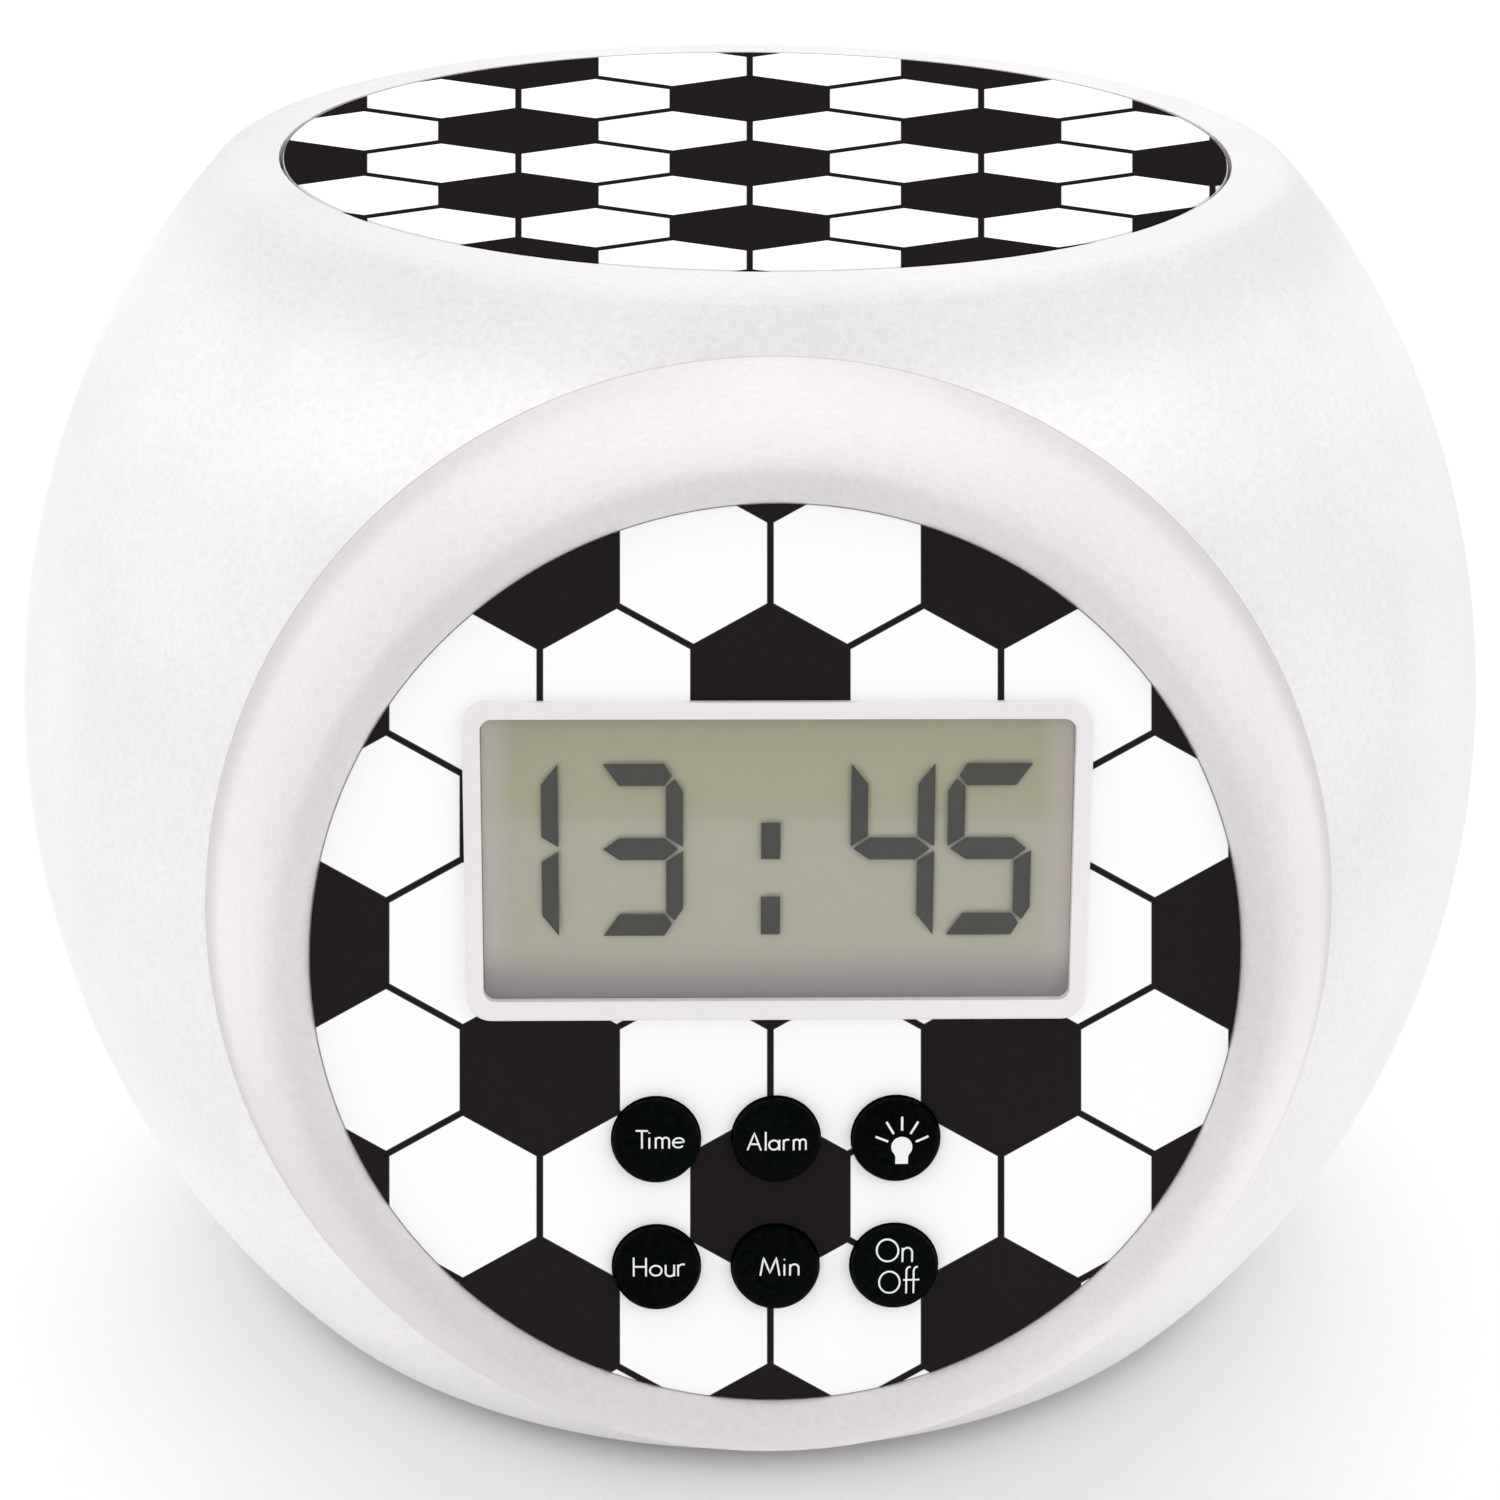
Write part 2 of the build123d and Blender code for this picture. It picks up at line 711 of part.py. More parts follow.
with BuildPart() as display_cradle:
    with BuildSketch(dial_plane(board_front)):
        with Locations((0, window_centre)):
            Rectangle(display_width + 2 * fit + 2 * cradle_wall, display_height + 2 * fit + 2 * cradle_wall)
            Rectangle(display_width + 2 * fit, display_height + 2 * fit, mode=Mode.SUBTRACT)
    extrude(amount=plate_back - board_front)
display_cradle.part.label = "display_cradle"
export_step(display_cradle.part, "parts/display_cradle.step")

# ------------------------------------------------------------------ main board
with BuildPart() as main_board:
    with BuildSketch(dial_plane(board_back)):
        Circle(board_radius)
        with Locations((0, board_boss_centre)):
            with boss_spots():
                Circle(screw_radius + fit, mode=Mode.SUBTRACT)
    extrude(amount=board_thickness)
main_board.part.label = "main_board"
export_step(main_board.part, "parts/main_board.step")

board_screw = screw(board_thickness + board_screw_bite)
board_screw_plane = Plane(origin=dial_plane(board_back).origin, x_dir=(-1, 0, 0), z_dir=-dial_normal)
with BuildPart(board_screw_plane) as board_screws:
    with Locations((0, board_boss_centre)):
        with boss_spots():
            add(board_screw)
board_screws.part.label = "board_screws"
export_step(board_screws.part, "parts/board_screws.step")

with BuildPart() as board_chips:
    with BuildSketch(dial_plane(board_back)):
        with Locations((0, window_centre)):
            RectangleRounded(chip_side, chip_side, chip_side / 8)
        with Locations((-1.5 * chip_side, 0), (1.5 * chip_side, 0)):
            Circle(chip_side / 5)
    extrude(amount=-chip_height)
board_chips.part.label = "board_chips"
export_step(board_chips.part, "parts/board_chips.step")

with BuildPart() as key_switches:
    with BuildSketch(dial_plane(board_front)):
        with Locations((0, button_rows_centre)):
            with button_spots():
                RectangleRounded(switch_side, switch_side, switch_side / 12)
                Circle(plunger_radius + fit, mode=Mode.SUBTRACT)
    extrude(amount=switch_height)
key_switches.part.label = "key_switches"
export_step(key_switches.part, "parts/key_switches.step")

# ------------------------------------------------------------------ buttons and their switch plungers
with BuildPart() as button_cap:  # z = 0 at the dial's face
    with BuildSketch(Plane.XZ):
        with BuildLine():
            dome = EllipticalCenterArc(
                (button_flat, button_proud - button_dome),
                button_radius - button_flat,
                button_dome,
                start_angle=0,
                arc_size=90,
            )
            Polyline(
                dome @ 1,
                (0, button_proud),
                (0, flange_back - dial_depth),
                (flange_radius, flange_back - dial_depth),
                (flange_radius, flange_front - dial_depth),
                (button_radius, flange_front - dial_depth),
                dome @ 0,
            )
        make_face()
    revolve(axis=Axis.Z)

for row, names in enumerate(button_names):
    for column, name in enumerate(names):
        spot = ((column - 1) * button_pitch, button_rows_centre + (row - 0.5) * button_row_pitch)
        with BuildPart(dial_plane(dial_depth)) as button:
            with Locations(spot):
                add(button_cap.part)
        button.part.label = f"button_{name}"
        export_step(button.part, f"parts/button_{name}.step")
        with BuildPart() as plunger:
            with BuildSketch(dial_plane(flange_back)):
                with Locations(spot):
                    Circle(plunger_radius)
            extrude(amount=-plunger_length)
        plunger.part.label = f"plunger_{name}"
        export_step(plunger.part, f"parts/plunger_{name}.step")

# ------------------------------------------------------------------ snooze top


def post_spots():
    """The three posts under the snooze cap."""
    return PolarLocations(post_circle, 3, start_angle=90)


with BuildPart() as snooze_cap:
    with BuildSketch(Plane.XY.offset(cap_under)):
        Circle(cap_radius)
    extrude(amount=cap_thickness)
    with BuildSketch(Plane.XY.offset(cap_under)):
        Circle(cap_radius)
        Circle(cap_radius - cap_wall, mode=Mode.SUBTRACT)
    extrude(amount=-(cap_skirt - cap_thickness))
    with BuildSketch(Plane.XY.offset(cap_under)):
        Circle(cap_stem_radius)
    extrude(amount=-cap_stem_length)
    with BuildSketch(Plane.XY.offset(post_bottom)):
        with post_spots():
            Circle(post_radius)
    extrude(amount=cap_under - post_bottom)
    with BuildSketch(Plane.XY.offset(post_bottom)):
        with post_spots():
            Circle(screw_radius + thread_gap)
    extrude(amount=screw_bite + fit, mode=Mode.SUBTRACT)
snooze_cap.part.label = "snooze_cap"
export_step(snooze_cap.part, "parts/snooze_cap.step")

with BuildPart() as snooze_label:
    with BuildSketch(Plane.XY.offset(cap_top)):
        Circle(cap_radius - fit)
    extrude(amount=label_thickness)
snooze_label.part.label = "snooze_label"
export_step(snooze_label.part, "parts/snooze_label.step")

stop_screw = screw(stop_washer + screw_bite)
with BuildPart(Plane(origin=(0, 0, post_bottom), x_dir=(1, 0, 0), z_dir=(0, 0, -1))) as snooze_stops:
    with PolarLocations(post_circle, 3, start_angle=-90):
        Cylinder(stop_head_radius, stop_washer, align=(Align.CENTER, Align.CENTER, Align.MIN))
        with Locations((0, 0, stop_washer)):
            add(stop_screw)
snooze_stops.part.label = "snooze_stops"
export_step(snooze_stops.part, "parts/snooze_stops.step")

snooze_spring = coil(spring_radius, spring_wire, cap_under - tray_top, spring_turns)
with BuildPart() as snooze_springs:
    with Locations((0, 0, tray_top)):
        with post_spots():
            add(snooze_spring)
snooze_springs.part.label = "snooze_springs"
export_step(snooze_springs.part, "parts/snooze_springs.step")

with BuildPart() as snooze_tray:
    with BuildSketch(Plane.XY.offset(tray_bottom)):
        Circle(tray_radius)
    extrude(amount=tray_thickness)
    with BuildSketch(Plane.XY.offset(tray_top)):
        Circle(well_opening + lip_wall)
        Circle(well_opening, mode=Mode.SUBTRACT)
        with PolarLocations(tray_boss_circle, 4, start_angle=45):
            Circle(tray_boss_radius + fit, mode=Mode.SUBTRACT)
    extrude(amount=tray_drop)
    with BuildSketch(Plane.XY.offset(tray_bottom)):
        with post_spots():
            Circle(post_radius + fit)
        with PolarLocations(tray_boss_circle, 4, start_angle=45):
            Circle(screw_radius + fit)
    extrude(amount=tray_thickness, mode=Mode.SUBTRACT)
snooze_tray.part.label = "snooze_tray"
export_step(snooze_tray.part, "parts/snooze_tray.step")

tray_screw = screw(tray_thickness + screw_bite)
with BuildPart(Plane(origin=(0, 0, tray_bottom), x_dir=(1, 0, 0), z_dir=(0, 0, -1))) as tray_screws:
    with PolarLocations(tray_boss_circle, 4, start_angle=45):
        add(tray_screw)
tray_screws.part.label = "tray_screws"
export_step(tray_screws.part, "parts/tray_screws.step")

with BuildPart() as snooze_board:
    with BuildSketch(Plane.XY.offset(tray_top)):
        RectangleRounded(3 * switch_side, 2 * switch_side, switch_side / 6)
    extrude(amount=snooze_board_thickness)
snooze_board.part.label = "snooze_board"
export_step(snooze_board.part, "parts/snooze_board.step")

with BuildPart() as snooze_switch:
    with BuildSketch(Plane.XY.offset(snooze_board_top)):
        RectangleRounded(switch_side, switch_side, switch_side / 12)
        Circle(snooze_plunger_radius + fit, mode=Mode.SUBTRACT)
    extrude(amount=snooze_switch_height)
snooze_switch.part.label = "snooze_switch"
export_step(snooze_switch.part, "parts/snooze_switch.step")

with BuildPart() as snooze_plunger:
    with BuildSketch(Plane.XY.offset(cap_stem_bottom)):
        Circle(snooze_plunger_radius)
    extrude(amount=-snooze_plunger_length)
snooze_plunger.part.label = "snooze_plunger"
export_step(snooze_plunger.part, "parts/snooze_plunger.step")

# ------------------------------------------------------------------ speaker
with BuildPart() as speaker_frame:
    with BuildSketch(Plane(origin=(0, speaker_y, base_top), x_dir=(1, 0, 0), z_dir=(0, -1, 0))):
        Polygon(
            (speaker_radius, 0),
            (speaker_radius, speaker_height),
            (magnet_radius, speaker_height),
            (magnet_radius, speaker_height + magnet_height),
            (0, speaker_height + magnet_height),
            (0, speaker_height - speaker_back),
            (speaker_radius - speaker_wall, speaker_height - speaker_back),
            (speaker_radius - speaker_wall, 0),
            align=None,
        )
    revolve(axis=Axis((0, speaker_y, 0), (0, 0, 1)))
speaker_frame.part.label = "speaker_frame"
export_step(speaker_frame.part, "parts/speaker_frame.step")

with BuildPart() as speaker_cone:
    with BuildSketch(Plane.XY.offset(base_top + speaker_wall / 2)):
        with Locations((0, speaker_y)):
            Circle(speaker_radius - speaker_wall - fit)
    extrude(amount=cone_thickness)
speaker_cone.part.label = "speaker_cone"
export_step(speaker_cone.part, "parts/speaker_cone.step")

with BuildPart() as speaker_clamp:
    with BuildSketch(Plane.XY.offset(base_top)):
        with Locations((0, speaker_y)):
            Circle(speaker_radius + fit + clamp_wall)
            Circle(speaker_radius + fit, mode=Mode.SUBTRACT)
    extrude(amount=speaker_height)
    with BuildSketch(Plane.XY.offset(base_top + speaker_height)):
        with Locations((0, speaker_y)):
            Circle(speaker_radius + fit + clamp_wall)
            Circle(magnet_radius + fit, mode=Mode.SUBTRACT)
    extrude(amount=clamp_top)
speaker_clamp.part.label = "speaker_clamp"
export_step(speaker_clamp.part, "parts/speaker_clamp.step")

# ------------------------------------------------------------------ batteries
with BuildPart() as battery_box:
    with BuildSketch(bay_plane.offset(battery_wall)):
        Rectangle(2 * (bay_half_length + battery_wall), 2 * (bay_half_height + battery_wall))
    extrude(amount=-body_radius)
    with BuildSketch(bay_plane):
        Rectangle(2 * bay_half_length, 2 * bay_half_height)
    extrude(amount=-body_radius, mode=Mode.SUBTRACT)
    add(room_fit.part, mode=Mode.INTERSECT)
    with BuildSketch(Plane.XY.offset(base_top)):
        with Locations((0, bay_front + battery_leg_length / 2)):
            with GridLocations(2 * leg_x, 0, 2, 1):
                Rectangle(battery_wall, battery_leg_length)
    extrude(amount=bay_bottom - battery_wall - base_top)
battery_box.part.label = "battery_box"
export_step(battery_box.part, "parts/battery_box.step")

# Each cell's nub points at the contact plate on one side; the middle cell is turned round.
contact_face = bay_half_length - contact_thickness
cell_planes = [
    Plane(origin=(side * contact_face, cells_y, height), x_dir=(0, 1, 0), z_dir=(-side, 0, 0))
    for side, height in zip((1, -1, 1), cell_heights)
]

with BuildPart() as battery_cells:
    with Locations(*cell_planes):
        Cylinder(cell_nub_radius, cell_nub_length, align=(Align.CENTER, Align.CENTER, Align.MIN))
        with Locations((0, 0, cell_nub_length)):
            Cylinder(cell_radius, cell_length, align=(Align.CENTER, Align.CENTER, Align.MIN))
battery_cells.part.label = "battery_cells"
export_step(battery_cells.part, "parts/battery_cells.step")

with BuildPart() as battery_contacts:
    for height in cell_heights:
        with Locations((-bay_half_length + contact_thickness / 2, cells_y, height)):
            Box(contact_thickness, contact_side, contact_side)
        with Locations((bay_half_length - contact_thickness / 2, cells_y, height)):
            Box(contact_thickness, contact_side, contact_side)
battery_contacts.part.label = "battery_contacts"
export_step(battery_contacts.part, "parts/battery_contacts.step")

cell_spring = coil(contact_spring_radius, spring_wire, contact_spring_length, contact_spring_turns)
spring_planes = [
    Plane(origin=plane.origin + plane.z_dir * 2 * contact_face, x_dir=(0, 1, 0), z_dir=-plane.z_dir)
    for plane in cell_planes
]
with BuildPart() as battery_springs:
    with Locations(*spring_planes):
        add(cell_spring)
battery_springs.part.label = "battery_springs"
export_step(battery_springs.part, "parts/battery_springs.step")

with BuildPart() as cover_air:  # the hollow, less the cover's clips
    add(hollow.part)
    with BuildSketch(bay_plane):
        with GridLocations(bay_half_length, 2 * (bay_half_height - cover_gap) - cover_clip_thickness, 2, 2):
            Rectangle(cover_clip_width, cover_clip_thickness)
    extrude(amount=-body_radius, mode=Mode.SUBTRACT)

with BuildPart() as battery_cover:
    with BuildSketch(bay_plane):
        Rectangle(2 * (bay_half_length - cover_gap), 2 * (bay_half_height - cover_gap))
    extrude(amount=-body_radius)
    add(casing.part, mode=Mode.INTERSECT)
    add(cover_air.part, mode=Mode.SUBTRACT)
    with BuildSketch(bay_plane.offset(-clip_back)):
        Rectangle(2 * bay_half_length, 2 * bay_half_height)
    extrude(amount=body_radius, mode=Mode.SUBTRACT)
battery_cover.part.label = "battery_cover"
export_step(battery_cover.part, "parts/battery_cover.step")

# ------------------------------------------------------------------ projector
with BuildPart() as projector_barrel:
    with BuildSketch(projector_section):
        Polygon(
            (barrel_bore, -barrel_back),
            (barrel_radius, -barrel_back),
            (barrel_radius, barrel_front),
            (barrel_bore, barrel_front),
            (barrel_bore, ledge_thickness - ledge_depth),
            (barrel_bore - ledge_width, ledge_thickness - ledge_depth),
            (barrel_bore - ledge_width, -ledge_depth),
            (barrel_bore, -ledge_depth),
            align=None,
        )
    revolve(axis=projector_axis)
    with BuildSketch(projector_plane(-collar_depth - barrel_flange_thickness)):
        Circle(barrel_radius + barrel_flange_reach)
        with GridLocations(2 * barrel_ear_offset, 0, 2, 1):
            Circle(barrel_ear_radius)
        Circle(barrel_radius - barrel_wall / 2, mode=Mode.SUBTRACT)
        with GridLocations(2 * barrel_ear_offset, 0, 2, 1):
            Circle(screw_radius + fit, mode=Mode.SUBTRACT)
    extrude(amount=barrel_flange_thickness)
    with BuildSketch(Plane(origin=projector_origin, x_dir=projector_direction, z_dir=(1, 0, 0))):  # pin slot
        with Locations((pin_depth + focus_travel / 2, 0)):
            SlotOverall(focus_travel + 2 * (focus_pin_radius + slip), 2 * (focus_pin_radius + fit))
    extrude(amount=2 * barrel_radius, mode=Mode.SUBTRACT)
projector_barrel.part.label = "projector_barrel"
export_step(projector_barrel.part, "parts/projector_barrel.step")

barrel_screw = screw(barrel_flange_thickness + barrel_screw_bite)
flange_plane = projector_plane(-collar_depth - barrel_flange_thickness)
with BuildPart(Plane(origin=flange_plane.origin, x_dir=(1, 0, 0), z_dir=-projector_direction)) as barrel_screws:
    with GridLocations(2 * barrel_ear_offset, 0, 2, 1):
        add(barrel_screw)
barrel_screws.part.label = "barrel_screws"
export_step(barrel_screws.part, "parts/barrel_screws.step")

with BuildPart() as lamp_board:
    with BuildSketch(projector_plane(-barrel_back)):
        Circle(barrel_bore - fit)
    extrude(amount=board_thickness)
lamp_board.part.label = "lamp_board"
export_step(lamp_board.part, "parts/lamp_board.step")

with BuildPart() as projector_lamp:
    with BuildSketch(projector_plane(board_thickness - barrel_back)):
        Circle(lamp_radius)
    extrude(amount=lamp_height)
    fillet(projector_lamp.faces().sort_by(projector_axis)[-1].edges(), lamp_radius * 0.8)
projector_lamp.part.label = "projector_lamp"
export_step(projector_lamp.part, "parts/projector_lamp.step")

rear_lens = lens(barrel_bore - fit)
ledge_back = projector_plane(-ledge_depth)
with BuildPart(Plane(origin=ledge_back.origin, x_dir=(1, 0, 0), z_dir=-projector_direction)) as condenser_lens:
    add(rear_lens)
condenser_lens.part.label = "condenser_lens"
export_step(condenser_lens.part, "parts/condenser_lens.step")

with BuildPart() as display_slide:
    with BuildSketch(projector_plane(ledge_thickness - ledge_depth)):
        Circle(barrel_bore - fit)
    extrude(amount=slide_thickness)
display_slide.part.label = "display_slide"
export_step(display_slide.part, "parts/display_slide.step")

lens_back = carrier_start + carrier_length - lens_edge
with BuildPart() as lens_carrier:
    with BuildSketch(projector_section):
        Polygon(
            (carrier_bore, carrier_start),
            (carrier_radius, carrier_start),
            (carrier_radius, carrier_start + carrier_length),
            (carrier_bore, carrier_start + carrier_length),
            (carrier_bore, lens_back),
            (carrier_bore - carrier_ledge, lens_back),
            (carrier_bore - carrier_ledge, lens_back - carrier_ledge),
            (carrier_bore, lens_back - carrier_ledge),
            align=None,
        )
    revolve(axis=projector_axis)
    with BuildSketch(Plane(origin=projector_origin, x_dir=projector_direction, z_dir=(1, 0, 0)).offset(pin_root)):
        with Locations((pin_depth, 0)):
            Circle(focus_pin_radius)
    extrude(amount=barrel_radius + focus_pin_reach - pin_root)
lens_carrier.part.label = "lens_carrier"
export_step(lens_carrier.part, "parts/lens_carrier.step")

front_lens = lens(lens_radius)
with BuildPart(projector_plane(lens_back)) as projector_lens:
    add(front_lens)
projector_lens.part.label = "projector_lens"
export_step(projector_lens.part, "parts/projector_lens.step")

groove_back = pin_depth - focus_pin_radius - slip
groove_front = pin_depth + focus_travel + focus_pin_radius + slip
lip_back = barrel_front + slip
with BuildPart() as focus_ring:
    with BuildSketch(projector_section):
        Polygon(
            (barrel_radius + fit, grip_start),
            (grip_radius, grip_start),
            (grip_radius, grip_front - grip_chamfer),
            (grip_radius - grip_chamfer, grip_front),
            (grip_bore + grip_chamfer, grip_front),
            (grip_bore, grip_front - grip_chamfer),
            (grip_bore, lip_back),
            (barrel_radius + fit, lip_back),
            (barrel_radius + fit, groove_front),
            (barrel_radius + grip_groove_gap, groove_front),
            (barrel_radius + grip_groove_gap, groove_back),
            (barrel_radius + fit, groove_back),
            align=None,
        )
    revolve(axis=projector_axis)
    with BuildSketch(projector_plane(groove_back)):
        with PolarLocations(grip_radius, grip_groove_count, start_angle=180 / grip_groove_count):
            Circle(grip_groove_radius)
    extrude(amount=lip_back - groove_back, mode=Mode.SUBTRACT)
focus_ring.part.label = "focus_ring"
export_step(focus_ring.part, "parts/focus_ring.step")
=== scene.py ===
# %% [markdown]
# # Dressing a projection alarm clock
#
# This lesson takes the solids of a table alarm clock and makes them look like the real thing. The clock is a
# white, egg-shaped case with a round dial that leans back, a liquid crystal display, six black keys, a big
# press-top for snooze and a small projector at the back. The solids already have the right sizes and joints,
# so most of the work is in materials, in the display's digits and in the small printed marks.

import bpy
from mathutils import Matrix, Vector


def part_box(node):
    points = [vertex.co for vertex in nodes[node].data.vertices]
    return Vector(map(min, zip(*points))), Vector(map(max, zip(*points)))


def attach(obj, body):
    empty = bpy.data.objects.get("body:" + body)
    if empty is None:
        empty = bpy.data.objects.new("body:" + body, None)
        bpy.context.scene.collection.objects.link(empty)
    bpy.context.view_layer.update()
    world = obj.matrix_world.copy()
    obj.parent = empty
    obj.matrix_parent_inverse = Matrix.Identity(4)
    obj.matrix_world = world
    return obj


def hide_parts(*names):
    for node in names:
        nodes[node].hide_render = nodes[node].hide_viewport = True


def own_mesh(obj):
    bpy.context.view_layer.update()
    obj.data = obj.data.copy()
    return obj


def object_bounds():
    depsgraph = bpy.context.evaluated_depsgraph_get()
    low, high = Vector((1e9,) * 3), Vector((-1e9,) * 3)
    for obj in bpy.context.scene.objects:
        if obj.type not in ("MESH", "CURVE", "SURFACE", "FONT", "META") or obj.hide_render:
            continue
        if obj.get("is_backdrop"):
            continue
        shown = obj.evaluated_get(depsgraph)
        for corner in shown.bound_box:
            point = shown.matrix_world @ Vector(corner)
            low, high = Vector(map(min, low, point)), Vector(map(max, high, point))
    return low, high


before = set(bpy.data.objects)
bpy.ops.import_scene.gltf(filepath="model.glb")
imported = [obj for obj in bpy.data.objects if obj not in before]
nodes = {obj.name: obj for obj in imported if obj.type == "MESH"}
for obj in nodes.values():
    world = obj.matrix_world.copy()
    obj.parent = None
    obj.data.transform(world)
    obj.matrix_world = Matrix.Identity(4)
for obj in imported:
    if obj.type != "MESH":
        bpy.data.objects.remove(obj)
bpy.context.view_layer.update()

# %% Tools that every cell uses
import math

import bmesh
import bpy
from mathutils import Matrix, Vector

MM = 0.001
scene = bpy.context.scene

# %% [markdown]
# ## The camera
#
# The clock is looked at from a little above, straight in front. Three unit vectors say which way is right,
# up and backwards for the camera, and they are the columns of its matrix. The lens is 72.5 mm on a 36 mm
# sensor.

# %% Camera
LENS, SENSOR = 72.49, 36.0
camera_axes = Matrix(((0.99962, -0.026, 0.00951), (0.00201, 0.41073, 0.91175), (-0.02761, -0.91138, 0.41063)))
camera_place = Vector((-8.262, -274.993, 172.199)) * MM
camera_data = bpy.data.cameras.new("camera")
camera_data.lens = LENS
camera_data.sensor_width = SENSOR
camera = bpy.data.objects.new("camera", camera_data)
camera.matrix_world = Matrix.Translation(camera_place) @ camera_axes.transposed().to_4x4()
scene.collection.objects.link(camera)
scene.camera = camera
print("camera", [round(value, 4) for value in camera.location])

# %% [markdown]
# ## Floor and light
#
# White plastic on white needs soft light that still falls off towards the edges. An even pale sky does most
# of it. A large lamp above is the strongest, one at the left gives the keys their shadow, and weaker ones at
# the right and behind fill in. The floor is a plain pale plane, declared as stage so that it is no part of
# the clock.

# %% Floor
def principled(material):
    """The Principled shader of a material."""
    return next(node for node in material.node_tree.nodes if node.type == "BSDF_PRINCIPLED")


def new_material(name):
    """A new material with its tree and its Principled shader."""
    material = bpy.data.materials.new(name)
    material.use_nodes = True
    return material, material.node_tree, principled(material)


floor_mesh = bpy.data.meshes.new("floor")
floor_form = bmesh.new()
bmesh.ops.create_grid(floor_form, x_segments=1, y_segments=1, size=3.0)
floor_form.to_mesh(floor_mesh)
floor_form.free()
floor = bpy.data.objects.new("floor", floor_mesh)
scene.collection.objects.link(floor)
floor_material, _, floor_shader = new_material("pale floor")
floor_shader.inputs["Base Color"].default_value = (0.97, 0.97, 0.97, 1)
floor_shader.inputs["Roughness"].default_value = 0.9
floor_shader.inputs["Specular IOR Level"].default_value = 0.1
floor_mesh.materials.append(floor_material)
floor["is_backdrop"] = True
print("floor laid")

# %% Lights
def area_light(name, place, target, size, power):
    """A square white lamp that looks at a point."""
    data = bpy.data.lights.new(name, "AREA")
    data.size = size
    data.energy = power
    lamp = bpy.data.objects.new(name, data)
    lamp.location = place
    lamp.rotation_euler = (Vector(target) - Vector(place)).to_track_quat("-Z", "Y").to_euler()
    scene.collection.objects.link(lamp)


SKY_STRENGTH = 0.795
middle = (0, 0, 0.05)
area_light("left light", (-1.0, -0.15, 0.45), middle, 0.7, 2.07)
area_light("right light", (0.8, -0.5, 0.45), middle, 0.7, 1.43)
area_light("top light", (0.0, 0.15, 1.1), middle, 0.8, 3.29)
area_light("back light", (0.2, 0.9, 0.6), middle, 0.7, 1.01)

world = bpy.data.worlds.new("studio")
world.use_nodes = True
sky = world.node_tree.nodes["Background"].inputs
sky["Color"].default_value = (1, 1, 1, 1)
sky["Strength"].default_value = SKY_STRENGTH
scene.world = world
scene.view_settings.view_transform = "Standard"

# %% [markdown]
# ## Building with nodes
#
# A material is a tree of nodes. The same few steps come up in almost every one, so each is a short function:
# a sum or a product, a noise, a mix of two colours, a smooth change over a distance, and the links that
# bring them to the shader.

# %% Nodes and groups
def add_node(tree, kind, inputs=None, **settings):
    """A node with its settings made, and each input either linked or given a value."""
    node = tree.nodes.new(kind)
    for name, value in settings.items():
        setattr(node, name, value)
    for name, value in (inputs or {}).items():
        if isinstance(value, bpy.types.NodeSocket):
            tree.links.new(value, node.inputs[name])
        else:
            node.inputs[name].default_value = value
    return node


def new_group(name, sizes, outputs):
    """A shader group that takes a vector and sizes {name: usual value}, and gives these outputs."""
    group = bpy.data.node_groups.new(name, "ShaderNodeTree")
    sockets = group.interface
    sockets.new_socket(name="Vector", in_out="INPUT", socket_type="NodeSocketVector")
    for label, size in sizes.items():
        sockets.new_socket(name=label, in_out="INPUT", socket_type="NodeSocketFloat").default_value = size
    for label in outputs:
        sockets.new_socket(name=label, in_out="OUTPUT", socket_type="NodeSocketFloat")
    return group, group.nodes.new("NodeGroupInput").outputs, group.nodes.new("NodeGroupOutput").inputs


# %% Steps of a material
def calc(operation, *values):
    """The result of a Math node with values or sockets as its inputs, in the tree of the sockets."""
    tree = next(value.id_data for value in values if isinstance(value, bpy.types.NodeSocket))
    return add_node(tree, "ShaderNodeMath", dict(enumerate(values)), operation=operation).outputs[0]


def product(first, *others):
    """All the values multiplied."""
    for value in others:
        first = calc("MULTIPLY", first, value)
    return first


def reach_of(x, y):
    """How far a point in a plane lies from the middle."""
    squares = [calc("POWER", value, 2.0) for value in (x, y)]
    return calc("SQRT", calc("ADD", *squares))


def noise(vector, scale, detail=2.0, **more):
    """The value of a noise."""
    inputs = {"Vector": vector, "Scale": scale, "Detail": detail, **more}
    return add_node(vector.id_data, "ShaderNodeTexNoise", inputs).outputs["Fac"]


def spread(value, low, high, start=0.0, stop=1.0, kind="LINEAR"):
    """An even change from low to high as a value goes from start to stop."""
    inputs = {"Value": value, "From Min": start, "From Max": stop, "To Min": low, "To Max": high}
    return add_node(value.id_data, "ShaderNodeMapRange", inputs, interpolation_type=kind).outputs["Result"]


def fade(value, start, stop, low, high):
    """A change from low to high that starts and stops smoothly."""
    return spread(value, low, high, start, stop, "SMOOTHSTEP")


def as_colour(value):
    """A socket as it is, or red, green and blue as a full colour."""
    return value if isinstance(value, bpy.types.NodeSocket) else (*value, 1)


def mix(factor, first, second):
    """The colour between two, each given as red, green and blue or as a socket."""
    inputs = {"Factor": factor, "A": as_colour(first), "B": as_colour(second)}
    return add_node(factor.id_data, "ShaderNodeMix", inputs, data_type="RGBA").outputs["Result"]


# %% Coordinates and links to the shader
def object_vector(tree):
    """Coordinates that stay with the piece."""
    return add_node(tree, "ShaderNodeTexCoord").outputs["Object"]


def turned(vector, place, lean):
    """Coordinates counted from a place and turned back by an angle about X."""
    inputs = {"Vector": vector, "Location": place, "Rotation": (lean, 0, 0)}
    return add_node(vector.id_data, "ShaderNodeMapping", inputs, vector_type="TEXTURE").outputs["Vector"]


